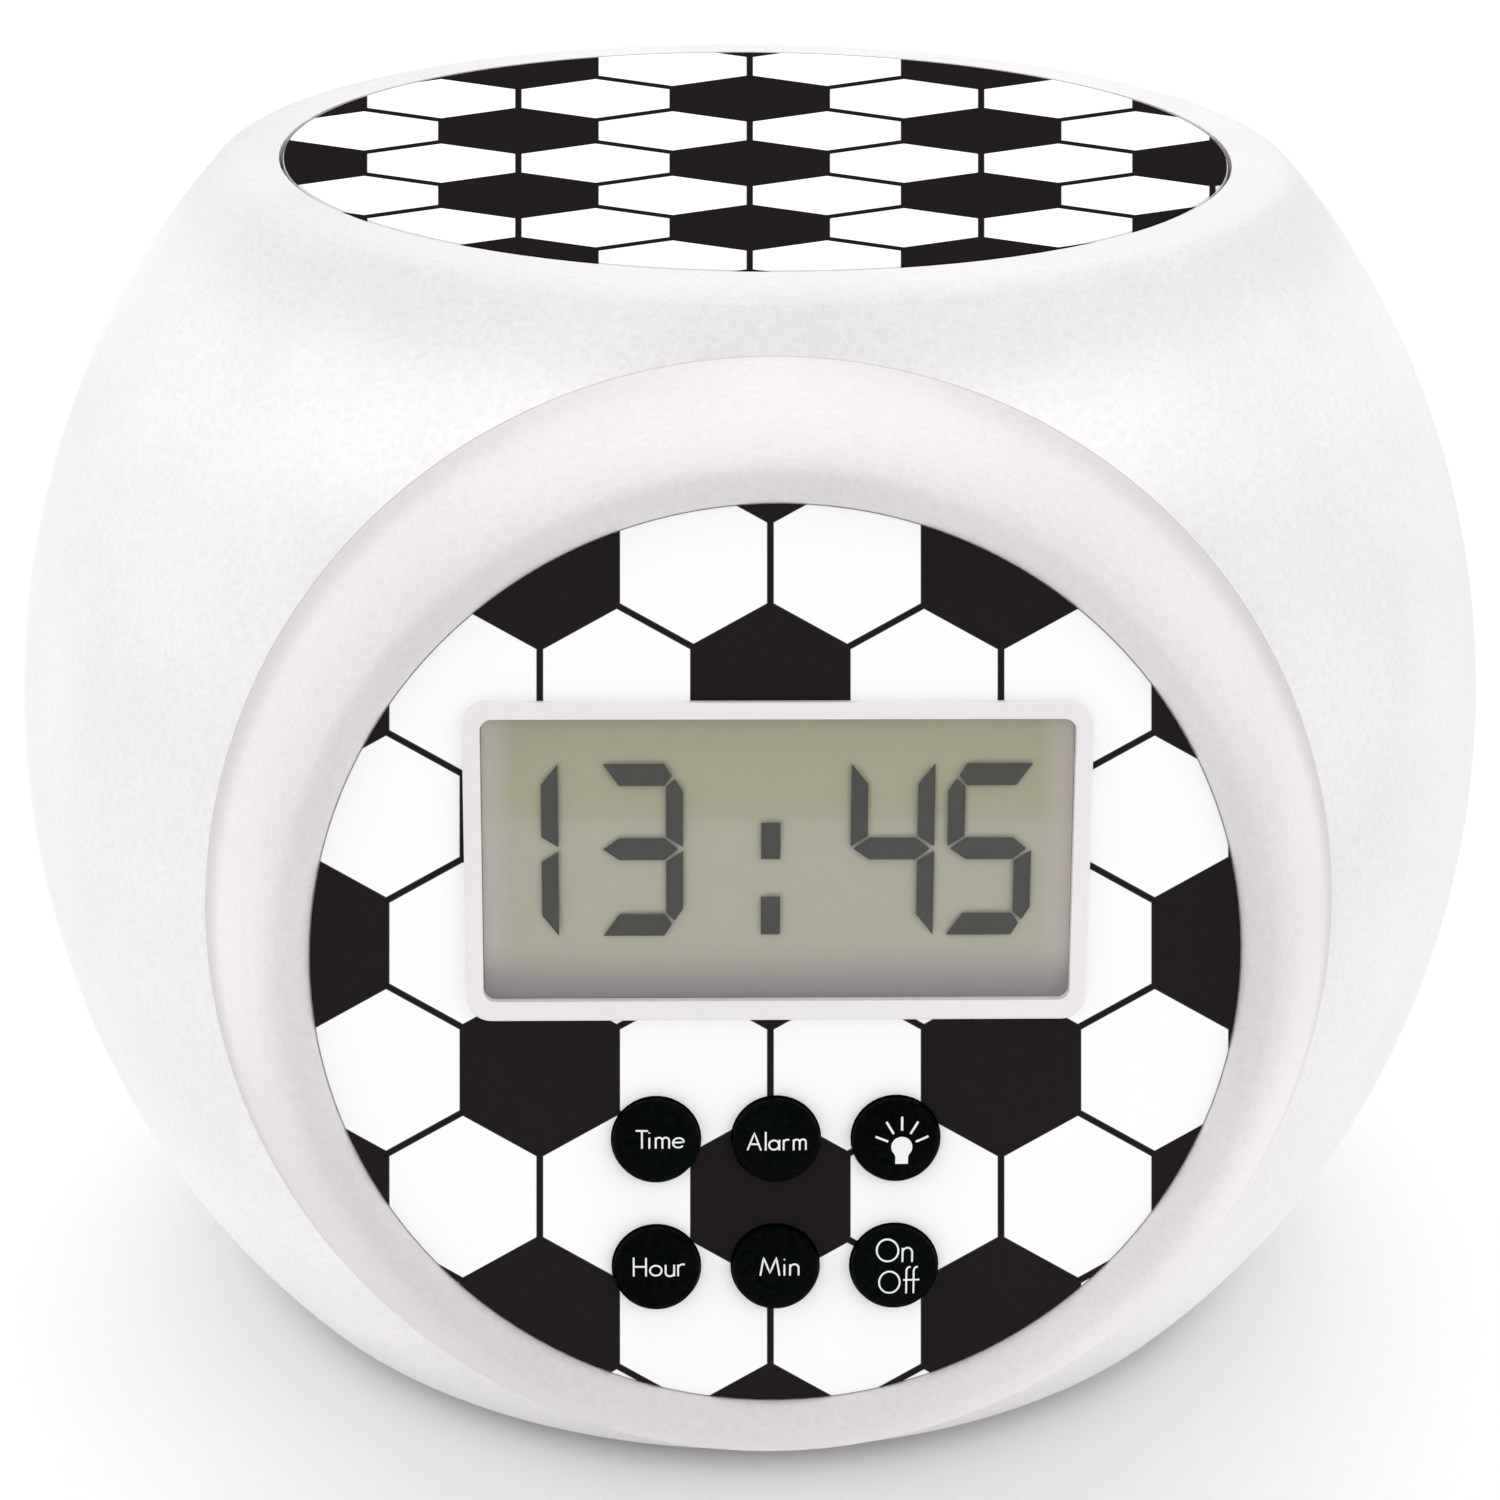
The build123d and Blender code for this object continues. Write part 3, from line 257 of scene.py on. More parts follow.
def xyz(vector):
    """The X, Y and Z of a vector."""
    return add_node(vector.id_data, "ShaderNodeSeparateXYZ", {"Vector": vector}).outputs


def feed(shader, name, socket):
    """Links a socket to an input of the shader."""
    shader.id_data.links.new(socket, shader.inputs[name])


def roughen(shader, value, low, high):
    """A roughness that follows a value from low to high."""
    feed(shader, "Roughness", spread(value, low, high))


def emboss(shader, height, strength, distance):
    """A bump that follows a height."""
    inputs = {"Height": height, "Strength": strength, "Distance": distance}
    feed(shader, "Normal", add_node(shader.id_data, "ShaderNodeBump", inputs).outputs["Normal"])


# %% [markdown]
# ## Shared shader effects
#
# Moulded plastic is never perfectly smooth: the mould is spark-eroded, which leaves a fine, even grain. Many
# materials need that, so it is a node group with named inputs, built once. The group only puts out a height
# and a slow shade that vary over the surface; the shader itself stays in each material.

# %% Spark-eroded grain
SLOW_SHARE, SPECK_SHARE = 0.02, 0.6  # scales of the slow drift and of the specks, as shares of the grain's
grain_group, given, result = new_group("moulded grain", {"Scale": 2600.0}, ("Height", "Shade"))
tree, vector, scale = grain_group, given["Vector"], given["Scale"]
tree.links.new(noise(vector, scale, 3.0), result["Height"])
slow = noise(vector, product(scale, SLOW_SHARE))
speck = noise(vector, product(scale, SPECK_SHARE), 1.0)
tree.links.new(spread(calc("ADD", slow, speck), 0.0, 1.0, 0.65, 1.35), result["Shade"])
print("group", grain_group.name, len(grain_group.nodes), "nodes")


def grain(vector, scale):
    """The height and the shade of the grain."""
    inputs = {"Vector": vector, "Scale": scale}
    return add_node(vector.id_data, "ShaderNodeGroup", inputs, node_tree=grain_group).outputs


# %% [markdown]
# ## The football pattern
#
# The films on the dial and on the top are printed with hexagons: every third one is black, and thin black
# lines part the white ones. A shader can work that out from two coordinates. Folding the plane into a
# repeated cell and measuring the distance to a hexagon's edge is three small steps, and doing it twice, once
# shifted by half a cell, covers the plane.

# %% Hexagon distance
ROW_SHARE = math.sqrt(0.75)  # a regular row's height over the pitch, and the cosine of a slanted side


def from_cell(value, period, shift=0.0):
    """How far a value lies from the middle of the nearest cell, along one way."""
    half = product(period, 0.5)
    shifted = calc("SUBTRACT", value, product(period, shift))
    return calc("ABSOLUTE", calc("WRAP", shifted, half, product(half, -1.0)))


def hexagon_distance(x, y, period_x, period_y, shift, extra):
    """Distance from the nearest cell centre, counted as a hexagon counts it, with extra where it is steep."""
    width = from_cell(x, period_x, shift)
    height = product(from_cell(y, period_y, shift), ROW_SHARE)
    slanted = calc("ADD", product(width, 0.5), height)
    return calc("MAXIMUM", width, calc("ADD", slanted, extra))


# %% Pattern group
SOFT_SHARE = 0.006  # width of the print's soft edge, as a share of the pitch
sizes = {"Pitch": 0.0116, "Row": 0.00987, "Line": 0.0005, "Slant": 1.0}
pattern_group, given, result = new_group("football print", sizes, ("Ink",))
tree, pitch = pattern_group, given["Pitch"]
plane = xyz(given["Vector"])
half_pitch = product(pitch, 0.5)
half_line = product(given["Line"], 0.5)
# Rows that aren't quite regular are stretched to regular ones first.
regular_row = product(pitch, ROW_SHARE)
y = product(plane["Y"], calc("DIVIDE", regular_row, given["Row"]))
two_rows = product(regular_row, 2.0)
# Slanted lines can be thicker than upright ones, which makes up for flattened rows.
extra = product(half_line, calc("SUBTRACT", given["Slant"], 1.0))
nearest = []
for period in (pitch, product(pitch, 3.0)):  # every cell, and every third one
    sets = [hexagon_distance(plane["X"], y, period, two_rows, shift, extra) for shift in (0.0, 0.5)]
    nearest.append(calc("MINIMUM", *sets))
into_line = calc("SUBTRACT", nearest[0], calc("SUBTRACT", half_pitch, half_line))
into_black = calc("SUBTRACT", calc("ADD", half_pitch, half_line), nearest[1])
softness = product(pitch, SOFT_SHARE)
inks = [calc("DIVIDE", depth, softness) for depth in (into_line, into_black)]
inputs = {0: calc("MAXIMUM", *inks), 1: 0.0}
ink = add_node(tree, "ShaderNodeMath", inputs, operation="ADD", use_clamp=True)
tree.links.new(ink.outputs[0], result["Ink"])
print("group", pattern_group.name, len(pattern_group.nodes), "nodes")

# %% [markdown]
# ## Moulded plastics
#
# One function makes all plain plastics: a base colour that drifts a little, a roughness that follows the
# same drift, and the grain as a bump. What differs from part to part is the colour, the gloss and the
# grain's size.

# %% Plain plastics
def moulded_plastic(name, colour, roughness, scale, depth, drift):
    """Plastic as it leaves a spark-eroded mould, with its grain's scale and depth and its colour's drift."""
    material, tree, shader = new_material(name)
    moulded = grain(object_vector(tree), scale)
    dark = [channel * (1 - drift) for channel in colour]
    light = [min(1.0, channel * (1 + drift)) for channel in colour]
    feed(shader, "Base Color", mix(moulded["Shade"], dark, light))
    roughen(shader, moulded["Shade"], roughness - 0.05, roughness + 0.05)
    emboss(shader, moulded["Height"], 0.6, depth)
    return material


case_white = moulded_plastic("case white", (0.811, 0.796, 0.783), 0.5, 3000.0, 0.00007, 0.055)
bezel_white = moulded_plastic("bezel white", (0.766, 0.733, 0.728), 0.42, 3200.0, 0.00006, 0.05)
frame_white = moulded_plastic("display frame white", (0.812, 0.783, 0.787), 0.4, 3000.0, 0.000015, 0.02)
key_black = moulded_plastic("key black", (0.0013, 0.0022, 0.0024), 0.5, 3600.0, 0.00004, 0.9)
legend_white = moulded_plastic("legend white", (0.86, 0.87, 0.87), 0.5, 9000.0, 0.000005, 0.03)
inner_plastic = moulded_plastic("plain grey plastic", (0.62, 0.62, 0.61), 0.45, 1800.0, 0.00002, 0.04)
chip_black = moulded_plastic("chip black", (0.02, 0.02, 0.022), 0.6, 5200.0, 0.00002, 0.3)
plunger_red = moulded_plastic("plunger red", (0.42, 0.03, 0.025), 0.35, 4200.0, 0.00001, 0.1)
projector_dark = moulded_plastic("projector charcoal", (0.035, 0.035, 0.038), 0.42, 2800.0, 0.00003, 0.15)
foot_rubber = moulded_plastic("foot rubber", (0.045, 0.045, 0.046), 0.75, 1800.0, 0.00006, 0.25)
for matt, gloss in ((key_black, 0.018), (foot_rubber, 0.1)):
    principled(matt).inputs["Specular IOR Level"].default_value = gloss
print("plastics made")

# %% [markdown]
# ## The printed films
#
# Two thin films carry the hexagons. The artwork is drawn so that its rows look even from the front, the way
# a road sign is stretched to be read from a car. So a point's place in the print is where the eye sees it:
# how far it lies to the right and up, each divided by how far away it is. The ink lies a touch above the
# film.

# %% Printed films
DIAL_TILT = math.radians(11.76)
DIAL_AXIS_HEIGHT = 48.6 * MM
FILM_WHITE, FILM_GRAIN = (0.98, 0.98, 0.98), 4200.0
sine, cosine = math.sin(DIAL_TILT), math.cos(DIAL_TILT)
dial_axes = Matrix(((1, 0, 0), (0, sine, cosine), (0, -cosine, sine)))
dial_frame = Matrix.Translation((0, 0, DIAL_AXIS_HEIGHT)) @ dial_axes.transposed().to_4x4()


def seen_from_front(vector):
    """Where a point lies in the view from the camera's place, as a vector with x right and y up."""
    tree, kind = vector.id_data, "ShaderNodeVectorMath"
    from_eye = add_node(tree, kind, {0: vector, 1: camera_place}, operation="SUBTRACT").outputs["Vector"]
    across, up, back = (
        add_node(tree, kind, {0: from_eye, 1: axis}, operation="DOT_PRODUCT").outputs["Value"]
        for axis in camera_axes
    )
    distance = product(back, -1.0)
    place = {"X": calc("DIVIDE", across, distance), "Y": calc("DIVIDE", up, distance)}
    return add_node(tree, "ShaderNodeCombineXYZ", place).outputs["Vector"]


def printed_film(name, centre, pitch, row, line, slant, black, gloss):
    """White film with hexagons printed on it. The sizes are tangents of angles, as seen from the front."""
    material, tree, shader = new_material(name)
    vector = object_vector(tree)
    placed = turned(seen_from_front(vector), (*centre, 0), 0)
    sizes = {"Vector": placed, "Pitch": pitch, "Row": row, "Line": line, "Slant": slant}
    ink = add_node(tree, "ShaderNodeGroup", sizes, node_tree=pattern_group).outputs["Ink"]
    feed(shader, "Base Color", mix(ink, FILM_WHITE, black))
    roughen(shader, ink, 0.45, 0.55)
    pores = product(grain(vector, FILM_GRAIN)["Height"], 0.2)
    emboss(shader, calc("ADD", pores, ink), 0.3, 0.00001)
    shader.inputs["Specular IOR Level"].default_value = gloss
    return material


dial_print = printed_film(
    "dial film", (0.00675, -0.14787), 0.0509, 0.04196, 0.0026, 1.0, (0.0162, 0.0130, 0.0140), 0.01
)
top_print = printed_film(
    "top film", (-0.00008, 0.19429), 0.05107, 0.010686, 0.0025, 2.0, (0.0138, 0.0106, 0.0117), 0.0
)
print("films printed")

# %% [markdown]
# ## The tones of case and bezel
#
# The case and the bezel aren't one even white, because light and shade are painted on them. The case is
# painted lighter towards its shoulder, most of all in the middle above the dial, and painted a little greyer
# again at its rim, next to the white film. Its foot is painted lighter too, standing in for the pale table
# lighting it from below. The bezel's inner roll towards the dial is painted greyer as shade, its sides are
# painted a little duller than its top, its lower left is painted greyer than its lower right, and a painted
# hairline of shadow marks the joint with the case at its back edge. All of this follows from a point's
# height, its distance from the dial's axis and its depth along that axis.

# %% Tone tools
def dial_vector(tree, place):
    """Coordinates across, up and out of the dial, counted from a place."""
    return turned(object_vector(tree), place, math.pi / 2 - DIAL_TILT)


def tone_down(material, tone):
    """Multiplies the material's base colour by a tone."""
    tree = material.node_tree
    colour = principled(material).inputs["Base Color"]
    inputs = {0: colour.links[0].from_socket, "Scale": tone}
    toned = add_node(tree, "ShaderNodeVectorMath", inputs, operation="SCALE").outputs["Vector"]
    tree.links.new(toned, colour)


# %% Case tone
LIT_SIDE = (10 * MM, 45 * MM)  # how far the lightest part reaches to the side, and where it has faded
LIT_RISE, LIT_FALL = (87 * MM, 96 * MM), (98 * MM, 105 * MM)  # heights
SHADED_RIM, LIT_FOOT = (101 * MM, 107 * MM), (8 * MM, 38 * MM)
tree = case_white.node_tree
at = xyz(object_vector(tree))
# Painted light: the shoulder is made lighter, most of all in the middle above the dial, as if lit there.
lift = fade(calc("ABSOLUTE", at["X"]), *LIT_SIDE, 0.2, 0.05)
rising = fade(at["Z"], *LIT_RISE, 0.0, 1.0)
falling = fade(at["Z"], *LIT_FALL, 1.0, 0.1)
painted_shoulder_light = calc("ADD", 1.0, product(lift, rising, falling))
# Painted shade: the rim next to the white film is made a little greyer.
rim = fade(at["Z"], *SHADED_RIM, 1.0, 0.92)
# Painted light: the foot is made lighter, as the pale table would light it from below.
foot = fade(at["Z"], *LIT_FOOT, 1.12, 1.0)
tone_down(case_white, product(painted_shoulder_light, rim, foot))
print("case toned")

# %% Bezel tone
INNER_ROLL, OUTER_ROLL = (35.6 * MM, 41.5 * MM), (42.4 * MM, 44.4 * MM)  # distances from the dial's axis
BACK_EDGE = (64.0 * MM, 64.5 * MM)
CORNER = (42 * MM, 60 * MM)  # how far down and to one side, added up
tree = bezel_white.node_tree
at = xyz(dial_vector(tree, (0, 0, DIAL_AXIS_HEIGHT)))
reach = reach_of(at["X"], at["Y"])
# Painted shade: the inner roll towards the dial is made greyer.
painted_roll_shade = fade(reach, *INNER_ROLL, 0.9, 1.01)
sideways = calc("DIVIDE", calc("ABSOLUTE", at["X"]), reach)
# Painted shade: the sides are made a little duller than the top.
painted_side_shade = product(sideways, fade(reach, *OUTER_ROLL, 0.0, 0.27))
# Painted shadow: a dark hairline along the joint with the case at the back edge.
joint = fade(at["Z"], *BACK_EDGE, 0.7, 1.0)
# Painted shade and light: the lower left is made greyer and the lower right lighter.
corners = [
    fade(calc("SUBTRACT", product(at["X"], side), at["Y"]), *CORNER, 1.0, tone)
    for side, tone in ((-1.0, 0.87), (1.0, 1.07))
]
tone_down(bezel_white, product(painted_roll_shade, calc("SUBTRACT", 1.0, painted_side_shade), joint, *corners))
print("bezel toned")

# %% [markdown]
# ## Metals
#
# Screws, springs and contacts are drawn or rolled metal, and that leaves fine streaks along one way. A noise
# that is stretched along that way makes them, and a slow cloud over it makes the plating a little uneven.

# %% Metals
def drawn_metal(name, colour, roughness, stretch, scale=2500.0):
    """Plated metal with streaks. The stretch is small along the streaks and 1 across them."""
    material, tree, shader = new_material(name)
    vector = object_vector(tree)
    along = add_node(tree, "ShaderNodeMapping", {"Vector": vector, "Scale": stretch}).outputs["Vector"]
    streak = noise(along, scale, 3.0)
    cloud = noise(vector, 260.0, 3.0)
    mixed = calc("ADD", product(streak, 0.5), product(cloud, 0.5))
    feed(shader, "Base Color", mix(mixed, [0.8 * channel for channel in colour], colour))
    roughen(shader, mixed, roughness - 0.1, roughness + 0.12)
    emboss(shader, streak, 0.4, 0.000004)
    shader.inputs["Metallic"].default_value = 1.0
    return material


zinc_steel = drawn_metal("zinc-plated steel", (0.62, 0.62, 0.6), 0.34, (1.0, 0.15, 1.0))
spring_steel = drawn_metal("spring steel", (0.56, 0.56, 0.57), 0.3, (0.2, 0.2, 1.0), 4000.0)
nickel = drawn_metal("nickel contacts", (0.74, 0.71, 0.66), 0.28, (1.0, 0.06, 1.0))
print("metals made")

# %% [markdown]
# ## Circuit boards
#
# A board is green lacquer over copper. Where copper runs under the lacquer it shows a lighter green, and the
# solder pads are bare tin. Runs and pads sit on a regular grid, and a noise decides which places of the grid
# are used. Three boards lie in three planes, so the pattern is a group that takes flat coordinates.

# %% Circuit pattern
RUN_SHARE, PAD_SHARE = 0.16, 0.34  # half a run's width and a pad's radius, as shares of the grid's step
circuit_group, given, result = new_group("circuit pattern", {"Step": 0.00127}, ("Copper", "Pad"))
tree, vector, step = circuit_group, given["Vector"], given["Step"]
plane = xyz(vector)
from_x, from_y = (from_cell(plane[axis], step) for axis in ("X", "Y"))
run_half = product(step, RUN_SHARE)
area = noise(vector, 130.0, 0.0)
run_x = product(calc("LESS_THAN", from_x, run_half), calc("GREATER_THAN", area, 0.53))
run_y = product(calc("LESS_THAN", from_y, run_half), calc("LESS_THAN", area, 0.45))
tree.links.new(calc("MAXIMUM", run_x, run_y), result["Copper"])
in_pad = calc("LESS_THAN", reach_of(from_x, from_y), product(step, PAD_SHARE))
pad = product(in_pad, calc("GREATER_THAN", noise(vector, 420.0, 0.0), 0.58))
tree.links.new(pad, result["Pad"])


def circuit_board(name, lean):
    """Green board whose face leans by an angle about X."""
    material, tree, shader = new_material(name)
    vector = object_vector(tree)
    flat = {"Vector": turned(vector, (0, 0, 0), lean)}
    circuit = add_node(tree, "ShaderNodeGroup", flat, node_tree=circuit_group).outputs
    glass_cloth = noise(vector, 1800.0)
    green = mix(glass_cloth, (0.008, 0.075, 0.028), (0.014, 0.11, 0.042))
    runs = mix(circuit["Copper"], green, (0.04, 0.21, 0.08))
    feed(shader, "Base Color", mix(circuit["Pad"], runs, (0.66, 0.66, 0.64)))
    feed(shader, "Metallic", circuit["Pad"])
    roughen(shader, glass_cloth, 0.22, 0.34)
    raised = calc("ADD", circuit["Copper"], product(circuit["Pad"], 2.0))
    emboss(shader, raised, 0.5, 0.00003)
    return material


PROJECTOR_TILT = math.radians(35)
main_circuit = circuit_board("main circuit", math.pi / 2 - DIAL_TILT)
snooze_circuit = circuit_board("snooze circuit", 0.0)
lamp_circuit = circuit_board("lamp circuit", PROJECTOR_TILT - math.pi / 2)
print("circuit boards made")

# %% [markdown]
# ## Clear pieces
#
# Lenses, the lamp's dome and the light block behind the display are clear plastic. Clear plastic still shows
# how it was moulded, so the roughness drifts a little, and the light block has the white dots that bring the
# light out of its face.

# %% Clear plastics
def clear_plastic(name, colour, roughness, through, index=1.49):
    """Clear plastic with faint flow marks."""
    material, tree, shader = new_material(name)
    flow = noise(object_vector(tree), 340.0, Distortion=1.2)
    roughen(shader, flow, roughness, roughness + 0.06)
    emboss(shader, flow, 0.1, 0.00001)
    shader.inputs["Base Color"].default_value = (*colour, 1)
    shader.inputs["Transmission Weight"].default_value = through
    shader.inputs["IOR"].default_value = index
    return material


lens_clear = clear_plastic("lens clear", (0.97, 0.985, 0.98), 0.01, 1.0)
lamp_clear = clear_plastic("lamp dome", (0.85, 0.16, 0.1), 0.05, 0.7, 1.55)

light_block, tree, shader = new_material("light block")
dots = {"Vector": object_vector(tree), "Scale": 900.0, "Randomness": 0.15}
from_dot = add_node(tree, "ShaderNodeTexVoronoi", dots, feature="F1").outputs["Distance"]
dotted = calc("LESS_THAN", from_dot, 0.3)
feed(shader, "Base Color", mix(dotted, (0.66, 0.74, 0.7), (0.9, 0.92, 0.9)))
roughen(shader, dotted, 0.12, 0.6)
shader.inputs["Transmission Weight"].default_value = 0.4
print("clear plastics made")

# %% [markdown]
# ## Projector slide, contact strips, cone and cells
#
# Four small pieces have a pattern of their own. The slide is dark with a clear window. The contact strips
# that join the display to the board are striped rubber, one thin black layer after another. The speaker's
# paper cone is pressed into rings. The cells wear printed sleeves, and the one in the middle lies the other
# way round.

# %% Patterned small pieces
SLIDE_HALF_WIDTH, SLIDE_HALF_HEIGHT = 5.5 * MM, 3.2 * MM
slide_dark, tree, shader = new_material("projector slide")
slide_low, slide_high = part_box("display_slide")
slide_middle = (Vector(slide_low) + Vector(slide_high)) / 2
at = xyz(turned(object_vector(tree), slide_middle, PROJECTOR_TILT - math.pi / 2))
in_width = calc("LESS_THAN", calc("ABSOLUTE", at["X"]), SLIDE_HALF_WIDTH)
in_height = calc("LESS_THAN", calc("ABSOLUTE", at["Y"]), SLIDE_HALF_HEIGHT)
window = product(in_width, in_height)
feed(shader, "Base Color", mix(window, (0.012, 0.012, 0.016), (0.16, 0.18, 0.2)))
roughen(shader, noise(object_vector(tree), 1500.0), 0.08, 0.2)

LAYER_STEP, BLACK_LAYER = 0.3 * MM, 0.13 * MM
striped_rubber, tree, shader = new_material("striped contact rubber")
across = calc("WRAP", xyz(object_vector(tree))["X"], LAYER_STEP, 0.0)
layer = calc("LESS_THAN", across, BLACK_LAYER)
feed(shader, "Base Color", mix(layer, (0.7, 0.5, 0.47), (0.02, 0.02, 0.02)))
roughen(shader, layer, 0.6, 0.75)

SPEAKER_Y, RING_STEP = -12 * MM, 1.4 * MM
cone_paper, tree, shader = new_material("cone paper")
vector = object_vector(tree)
at = xyz(vector)
reach = reach_of(at["X"], calc("SUBTRACT", at["Y"], SPEAKER_Y))
ring = calc("SINE", product(reach, 2 * math.pi / RING_STEP))
fibre = noise(vector, 3200.0, 4.0)
feed(shader, "Base Color", mix(fibre, (0.012, 0.012, 0.012), (0.045, 0.043, 0.04)))
roughen(shader, fibre, 0.75, 0.95)
emboss(shader, calc("ADD", ring, fibre), 0.6, 0.0001)

# %% Cell sleeves
CELL_MIDDLE, CELL_STEP = 32.5 * MM, 15.3 * MM
LINE_START, BAND_START = 9.0 * MM, 9.6 * MM  # counted towards the nub
FLAT_END, NUB_END = -23.2 * MM, 25.2 * MM
cell_sleeve, tree, shader = new_material("cell sleeve")
vector = object_vector(tree)
at = xyz(vector)
from_middle = calc("ABSOLUTE", calc("SUBTRACT", at["Z"], CELL_MIDDLE))
outer_cell = calc("GREATER_THAN", from_middle, CELL_STEP / 2)
facing = calc("SUBTRACT", product(outer_cell, 2.0), 1.0)
towards_nub = product(at["X"], facing)
in_line, in_band, at_nub = (
    calc("GREATER_THAN", towards_nub, start) for start in (LINE_START, BAND_START, NUB_END)
)
bare = calc("MAXIMUM", at_nub, calc("LESS_THAN", towards_nub, FLAT_END))
fleck = noise(vector, 2400.0)
sleeve = (0.028, 0.029, 0.032)
for share, colour in (
    (in_line, (0.86, 0.86, 0.85)),
    (in_band, (0.62, 0.27, 0.1)),
    (bare, (0.66, 0.65, 0.63)),
    (product(fleck, 0.2), (0.1, 0.1, 0.1)),
):
    sleeve = mix(share, sleeve, colour)
feed(shader, "Base Color", sleeve)
feed(shader, "Metallic", bare)
roughen(shader, fleck, 0.22, 0.36)
print("patterned pieces made")

# %% [markdown]
# ## Dressing the solids
#
# Each solid keeps its shape and gets the material of the real piece. A table of material to solids is easier
# to read than one line each, and a last check makes sure that none was forgotten.

# %% Dress
def dress(material, *names):
    """These solids show this material."""
    for name in names:
        slots = nodes[name].data.materials
        slots.clear()
        slots.append(material)
        dressed.add(name)


dressed = set()
key_names = ("hour", "minute", "on_off", "time", "alarm", "light")
dress(case_white, "front_shell", "rear_shell", "base_plate", "battery_cover", "snooze_cap")
dress(bezel_white, "bezel_ring")
dress(frame_white, "display_frame")
dress(dial_print, "dial_label")
dress(top_print, "snooze_label")
dress(key_black, *(f"button_{name}" for name in key_names))
dress(plunger_red, "snooze_plunger", *(f"plunger_{name}" for name in key_names))
dress(inner_plastic, "dial_plate", "display_cradle", "snooze_tray", "battery_box", "speaker_clamp")
dress(chip_black, "board_chips", "key_switches", "snooze_switch")
dress(projector_dark, "projector_barrel", "lens_carrier", "focus_ring")
dress(foot_rubber, "rubber_feet")
dress(zinc_steel, "base_screws", "case_screws", "board_screws", "tray_screws", "barrel_screws")
dress(zinc_steel, "speaker_frame")
dress(spring_steel, "snooze_stops", "battery_springs")
dress(nickel, "battery_contacts")
dress(main_circuit, "main_board")
dress(snooze_circuit, "snooze_board")
dress(lamp_circuit, "lamp_board")
dress(lens_clear, "condenser_lens", "projector_lens")
dress(lamp_clear, "projector_lamp")
dress(light_block, "backlight_block")
dress(slide_dark, "display_slide")
dress(striped_rubber, "connector_strips")
dress(cone_paper, "speaker_cone")
dress(cell_sleeve, "battery_cells")
print("not dressed by hand:", sorted(set(nodes) - dressed))

# %% [markdown]
# ## Building new pieces
#
# The display's digits, the keys' legends and the ridges on the battery cover are too small for the solids,
# so they are modelled here. Each starts as a bmesh, takes its place in its own mesh, and then rides on the
# body it belongs to. Places on the dial are counted in millimetres from its centre: across, up and out.

# %% From a bmesh to a piece
def make_piece(name, form, material, body, place=None, crease=35):
    """Turns a bmesh into an object that shows a material and rides on a body."""
    if place is not None:
        bmesh.ops.transform(form, matrix=place, verts=form.verts)
    bmesh.ops.recalc_face_normals(form, faces=form.faces)
    mesh = bpy.data.meshes.new(name)
    form.to_mesh(mesh)
    form.free()
    mesh.materials.append(material)
    mesh.shade_smooth()
    mesh.set_sharp_from_angle(angle=math.radians(crease))
    piece = bpy.data.objects.new(name, mesh)
    scene.collection.objects.link(piece)
    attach(piece, body)
    print(name, len(mesh.polygons), "faces")
    return piece


def extruded_corners(form):
    """Extrudes all faces of a form and gives the corners of the new ones."""
    extruded = bmesh.ops.extrude_face_region(form, geom=form.faces[:])["geom"]
    return [item for item in extruded if isinstance(item, bmesh.types.BMVert)]


def thicken(form, thickness):
    """Raises all faces of a flat form by a thickness in millimetres."""
    bmesh.ops.translate(form, vec=(0, 0, thickness * MM), verts=extruded_corners(form))


def joined(forms):
    """Several bmeshes as one."""
    whole = bmesh.new()
    for form in forms:
        passing = bpy.data.meshes.new("passing")
        form.to_mesh(passing)
        form.free()
        whole.from_mesh(passing)
        bpy.data.meshes.remove(passing)
    return whole


# %% [markdown]
# ## The display
#
# A liquid crystal display is a sandwich: clear glass in front, dark segments in the liquid, and a
# grey-green reflector behind. It is built as three pieces, with a gap between segments and reflector, and a
# nearly clear fourth piece in that gap is the digits' soft shadow. The glass and the reflector stand in for
# the plain solids of the window and the panel.

# %% Display sizes
# Millimetres up from the dial's centre, and out along its axis.
DISPLAY_CENTRE = 8.35
GLASS_FRONT, GLASS_BACK = 77.0, 76.75
SEGMENT_BACK, SEGMENT_THICKNESS = 76.66, 0.05
REFLECTOR_FRONT, REFLECTOR_BACK = 76.45, 74.2


def round_edges(form, edges, offset, segments):
    """Rounds edges of a form by an offset in millimetres."""
    kind = {"offset_type": "OFFSET", "affect": "EDGES", "profile": 0.5, "material": -1}
    bmesh.ops.bevel(form, geom=edges, offset=offset * MM, segments=segments, **kind)


def rounded_slab(width, height, corner, back, front, rounding):
    """A slab with round corners, and a small rounding round its front face."""
    form = bmesh.new()
    bmesh.ops.create_cube(form, size=1.0)
    bmesh.ops.scale(form, vec=(width * MM, height * MM, (front - back) * MM), verts=form.verts)
    bmesh.ops.translate(form, vec=(0, DISPLAY_CENTRE * MM, (front + back) / 2 * MM), verts=form.verts)
    upright = [edge for edge in form.edges if abs(edge.verts[0].co.z - edge.verts[1].co.z) > 1e-6]
    round_edges(form, upright, corner, 6)
    rim = [edge for edge in form.edges if min(vert.co.z for vert in edge.verts) > (front - 0.001) * MM]
    round_edges(form, rim, rounding, 2)
    return form
